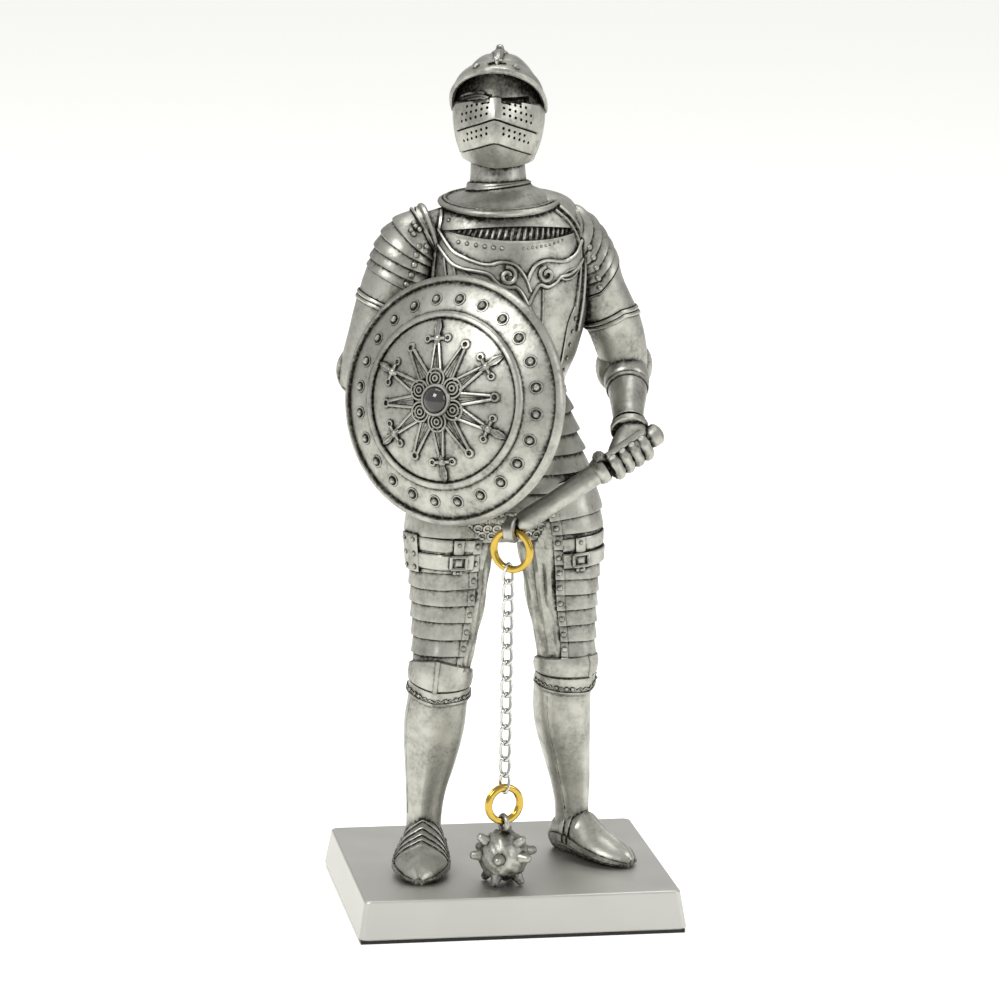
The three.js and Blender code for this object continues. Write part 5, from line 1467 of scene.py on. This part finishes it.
# The flail's ball: a rough little pewter casting with a loop on top and short blunt spikes all round.
BALL_RADIUS = 5.2
BALL_BELOW_LOOP = 6.7
SPIKE_LENGTH = 2.1
SPIKE_RADIUS = 1.1
SPIKE_ROWS = ((6, 4, 10), (4, -52, 55), (3, 40, 70))
LOOP_HOLE = 2.2
LOOP_WALL = 1.1
_, ball_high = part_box("flail_ball")
loop_z = ball_high.z / MM - LOOP_HOLE / 2 - LOOP_WALL
ball_at = np.array((chain_at[0], chain_at[1], loop_z - BALL_BELOW_LOOP))
half_turn = np.linspace(-math.pi / 2, math.pi / 2, 33)
ball_parts = [turned(ball_at, (0, 0, 1), [
    (BALL_RADIUS * math.sin(t), max(0.02, BALL_RADIUS * math.cos(t))) for t in half_turn
], 48)]
globe, _ = ball_parts[0]
lumps = 0.3 * np.sin(globe[:, 0] * 2.1 + globe[:, 2]) * np.sin(globe[:, 1] * 1.7 - globe[:, 2] * 1.3)
globe += (globe - ball_at) / BALL_RADIUS * lumps[:, None]
# Each row of spikes: how many, how far they rise over the middle and where the first stands, in degrees.
for count, rise, start in SPIKE_ROWS:
    for i in range(count):
        a = math.radians(start + 360 * i / count)
        up = math.radians(rise)
        way = np.array((math.cos(a) * math.cos(up), math.sin(a) * math.cos(up), math.sin(up)))
        ball_parts.append(turned(ball_at, way, [
            (BALL_RADIUS * 0.8, SPIKE_RADIUS * 1.35), (BALL_RADIUS + 0.1, SPIKE_RADIUS * 1.15),
            (BALL_RADIUS + 0.5, SPIKE_RADIUS * 0.95),
            (BALL_RADIUS + SPIKE_LENGTH * 0.8, SPIKE_RADIUS * 0.75),
            (BALL_RADIUS + SPIKE_LENGTH * 0.95, SPIKE_RADIUS * 0.5),
            (BALL_RADIUS + SPIKE_LENGTH, SPIKE_RADIUS * 0.15),
        ], 14))
loop_flat = np.array((-math.sin(LOWER_TURN), math.cos(LOWER_TURN), 0))
loop_at = ball_at + np.array((0, 0, BALL_BELOW_LOOP))
ball_parts.append(torus(loop_at, loop_flat, (LOOP_HOLE + LOOP_WALL) / 2, LOOP_WALL, 0, 36, 12, 1.0))
ball = make_piece("spiked_ball", ball_parts, pewter, 50)
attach(ball, "root")
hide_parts("flail_ball")

# The studio: a plain pale floor, a pale surround and three large soft lights.
FLOOR_SIZE = 6.0
STATUE_MIDDLE = Vector((0, 0, 0.09))
studio, tree, surface, place = new_material("studio_floor")
coat_surface(tree, surface, {
    "Base Color": linear("#f4f4f1"), "Roughness": 0.8, "Emission Color": linear("#fbfbf8"),
    "Emission Strength": 0.42,
})
half = FLOOR_SIZE / 2
floor_mesh = bpy.data.meshes.new("floor")
corners = [(-half, -half, 0), (half, -half, 0), (half, half, 0), (-half, half, 0)]
floor_mesh.from_pydata(corners, [], [(0, 1, 2, 3)])
floor_mesh.materials.append(studio)
floor = bpy.data.objects.new("floor", floor_mesh)
bpy.context.scene.collection.objects.link(floor)

world = bpy.data.worlds.new("pale_surround")
world.use_nodes = True
tree = world.node_tree
tree.nodes.clear()
background = add_node(tree, "Background", {"Color": linear("#ffffff"), "Strength": 0.55})
add_node(tree, "OutputWorld", {"Surface": background.outputs[0]})
bpy.context.scene.world = world
bpy.context.scene.view_settings.view_transform = "Standard"


def soft_light(name, at, size, power):
    """A large square lamp that looks at the statue's middle."""
    data = bpy.data.lights.new(name, "AREA")
    data.size = size
    data.energy = power
    made = bpy.data.objects.new(name, data)
    bpy.context.scene.collection.objects.link(made)
    made.location = at
    made.rotation_mode = "QUATERNION"
    made.rotation_quaternion = (STATUE_MIDDLE - Vector(at)).to_track_quat("-Z", "Y")


soft_light("key_light", (-0.7, -0.6, 0.9), 0.45, 7)
soft_light("fill_light", (0.8, -0.5, 0.5), 0.5, 2)
soft_light("top_light", (0.1, 0.3, 1.1), 0.6, 4)
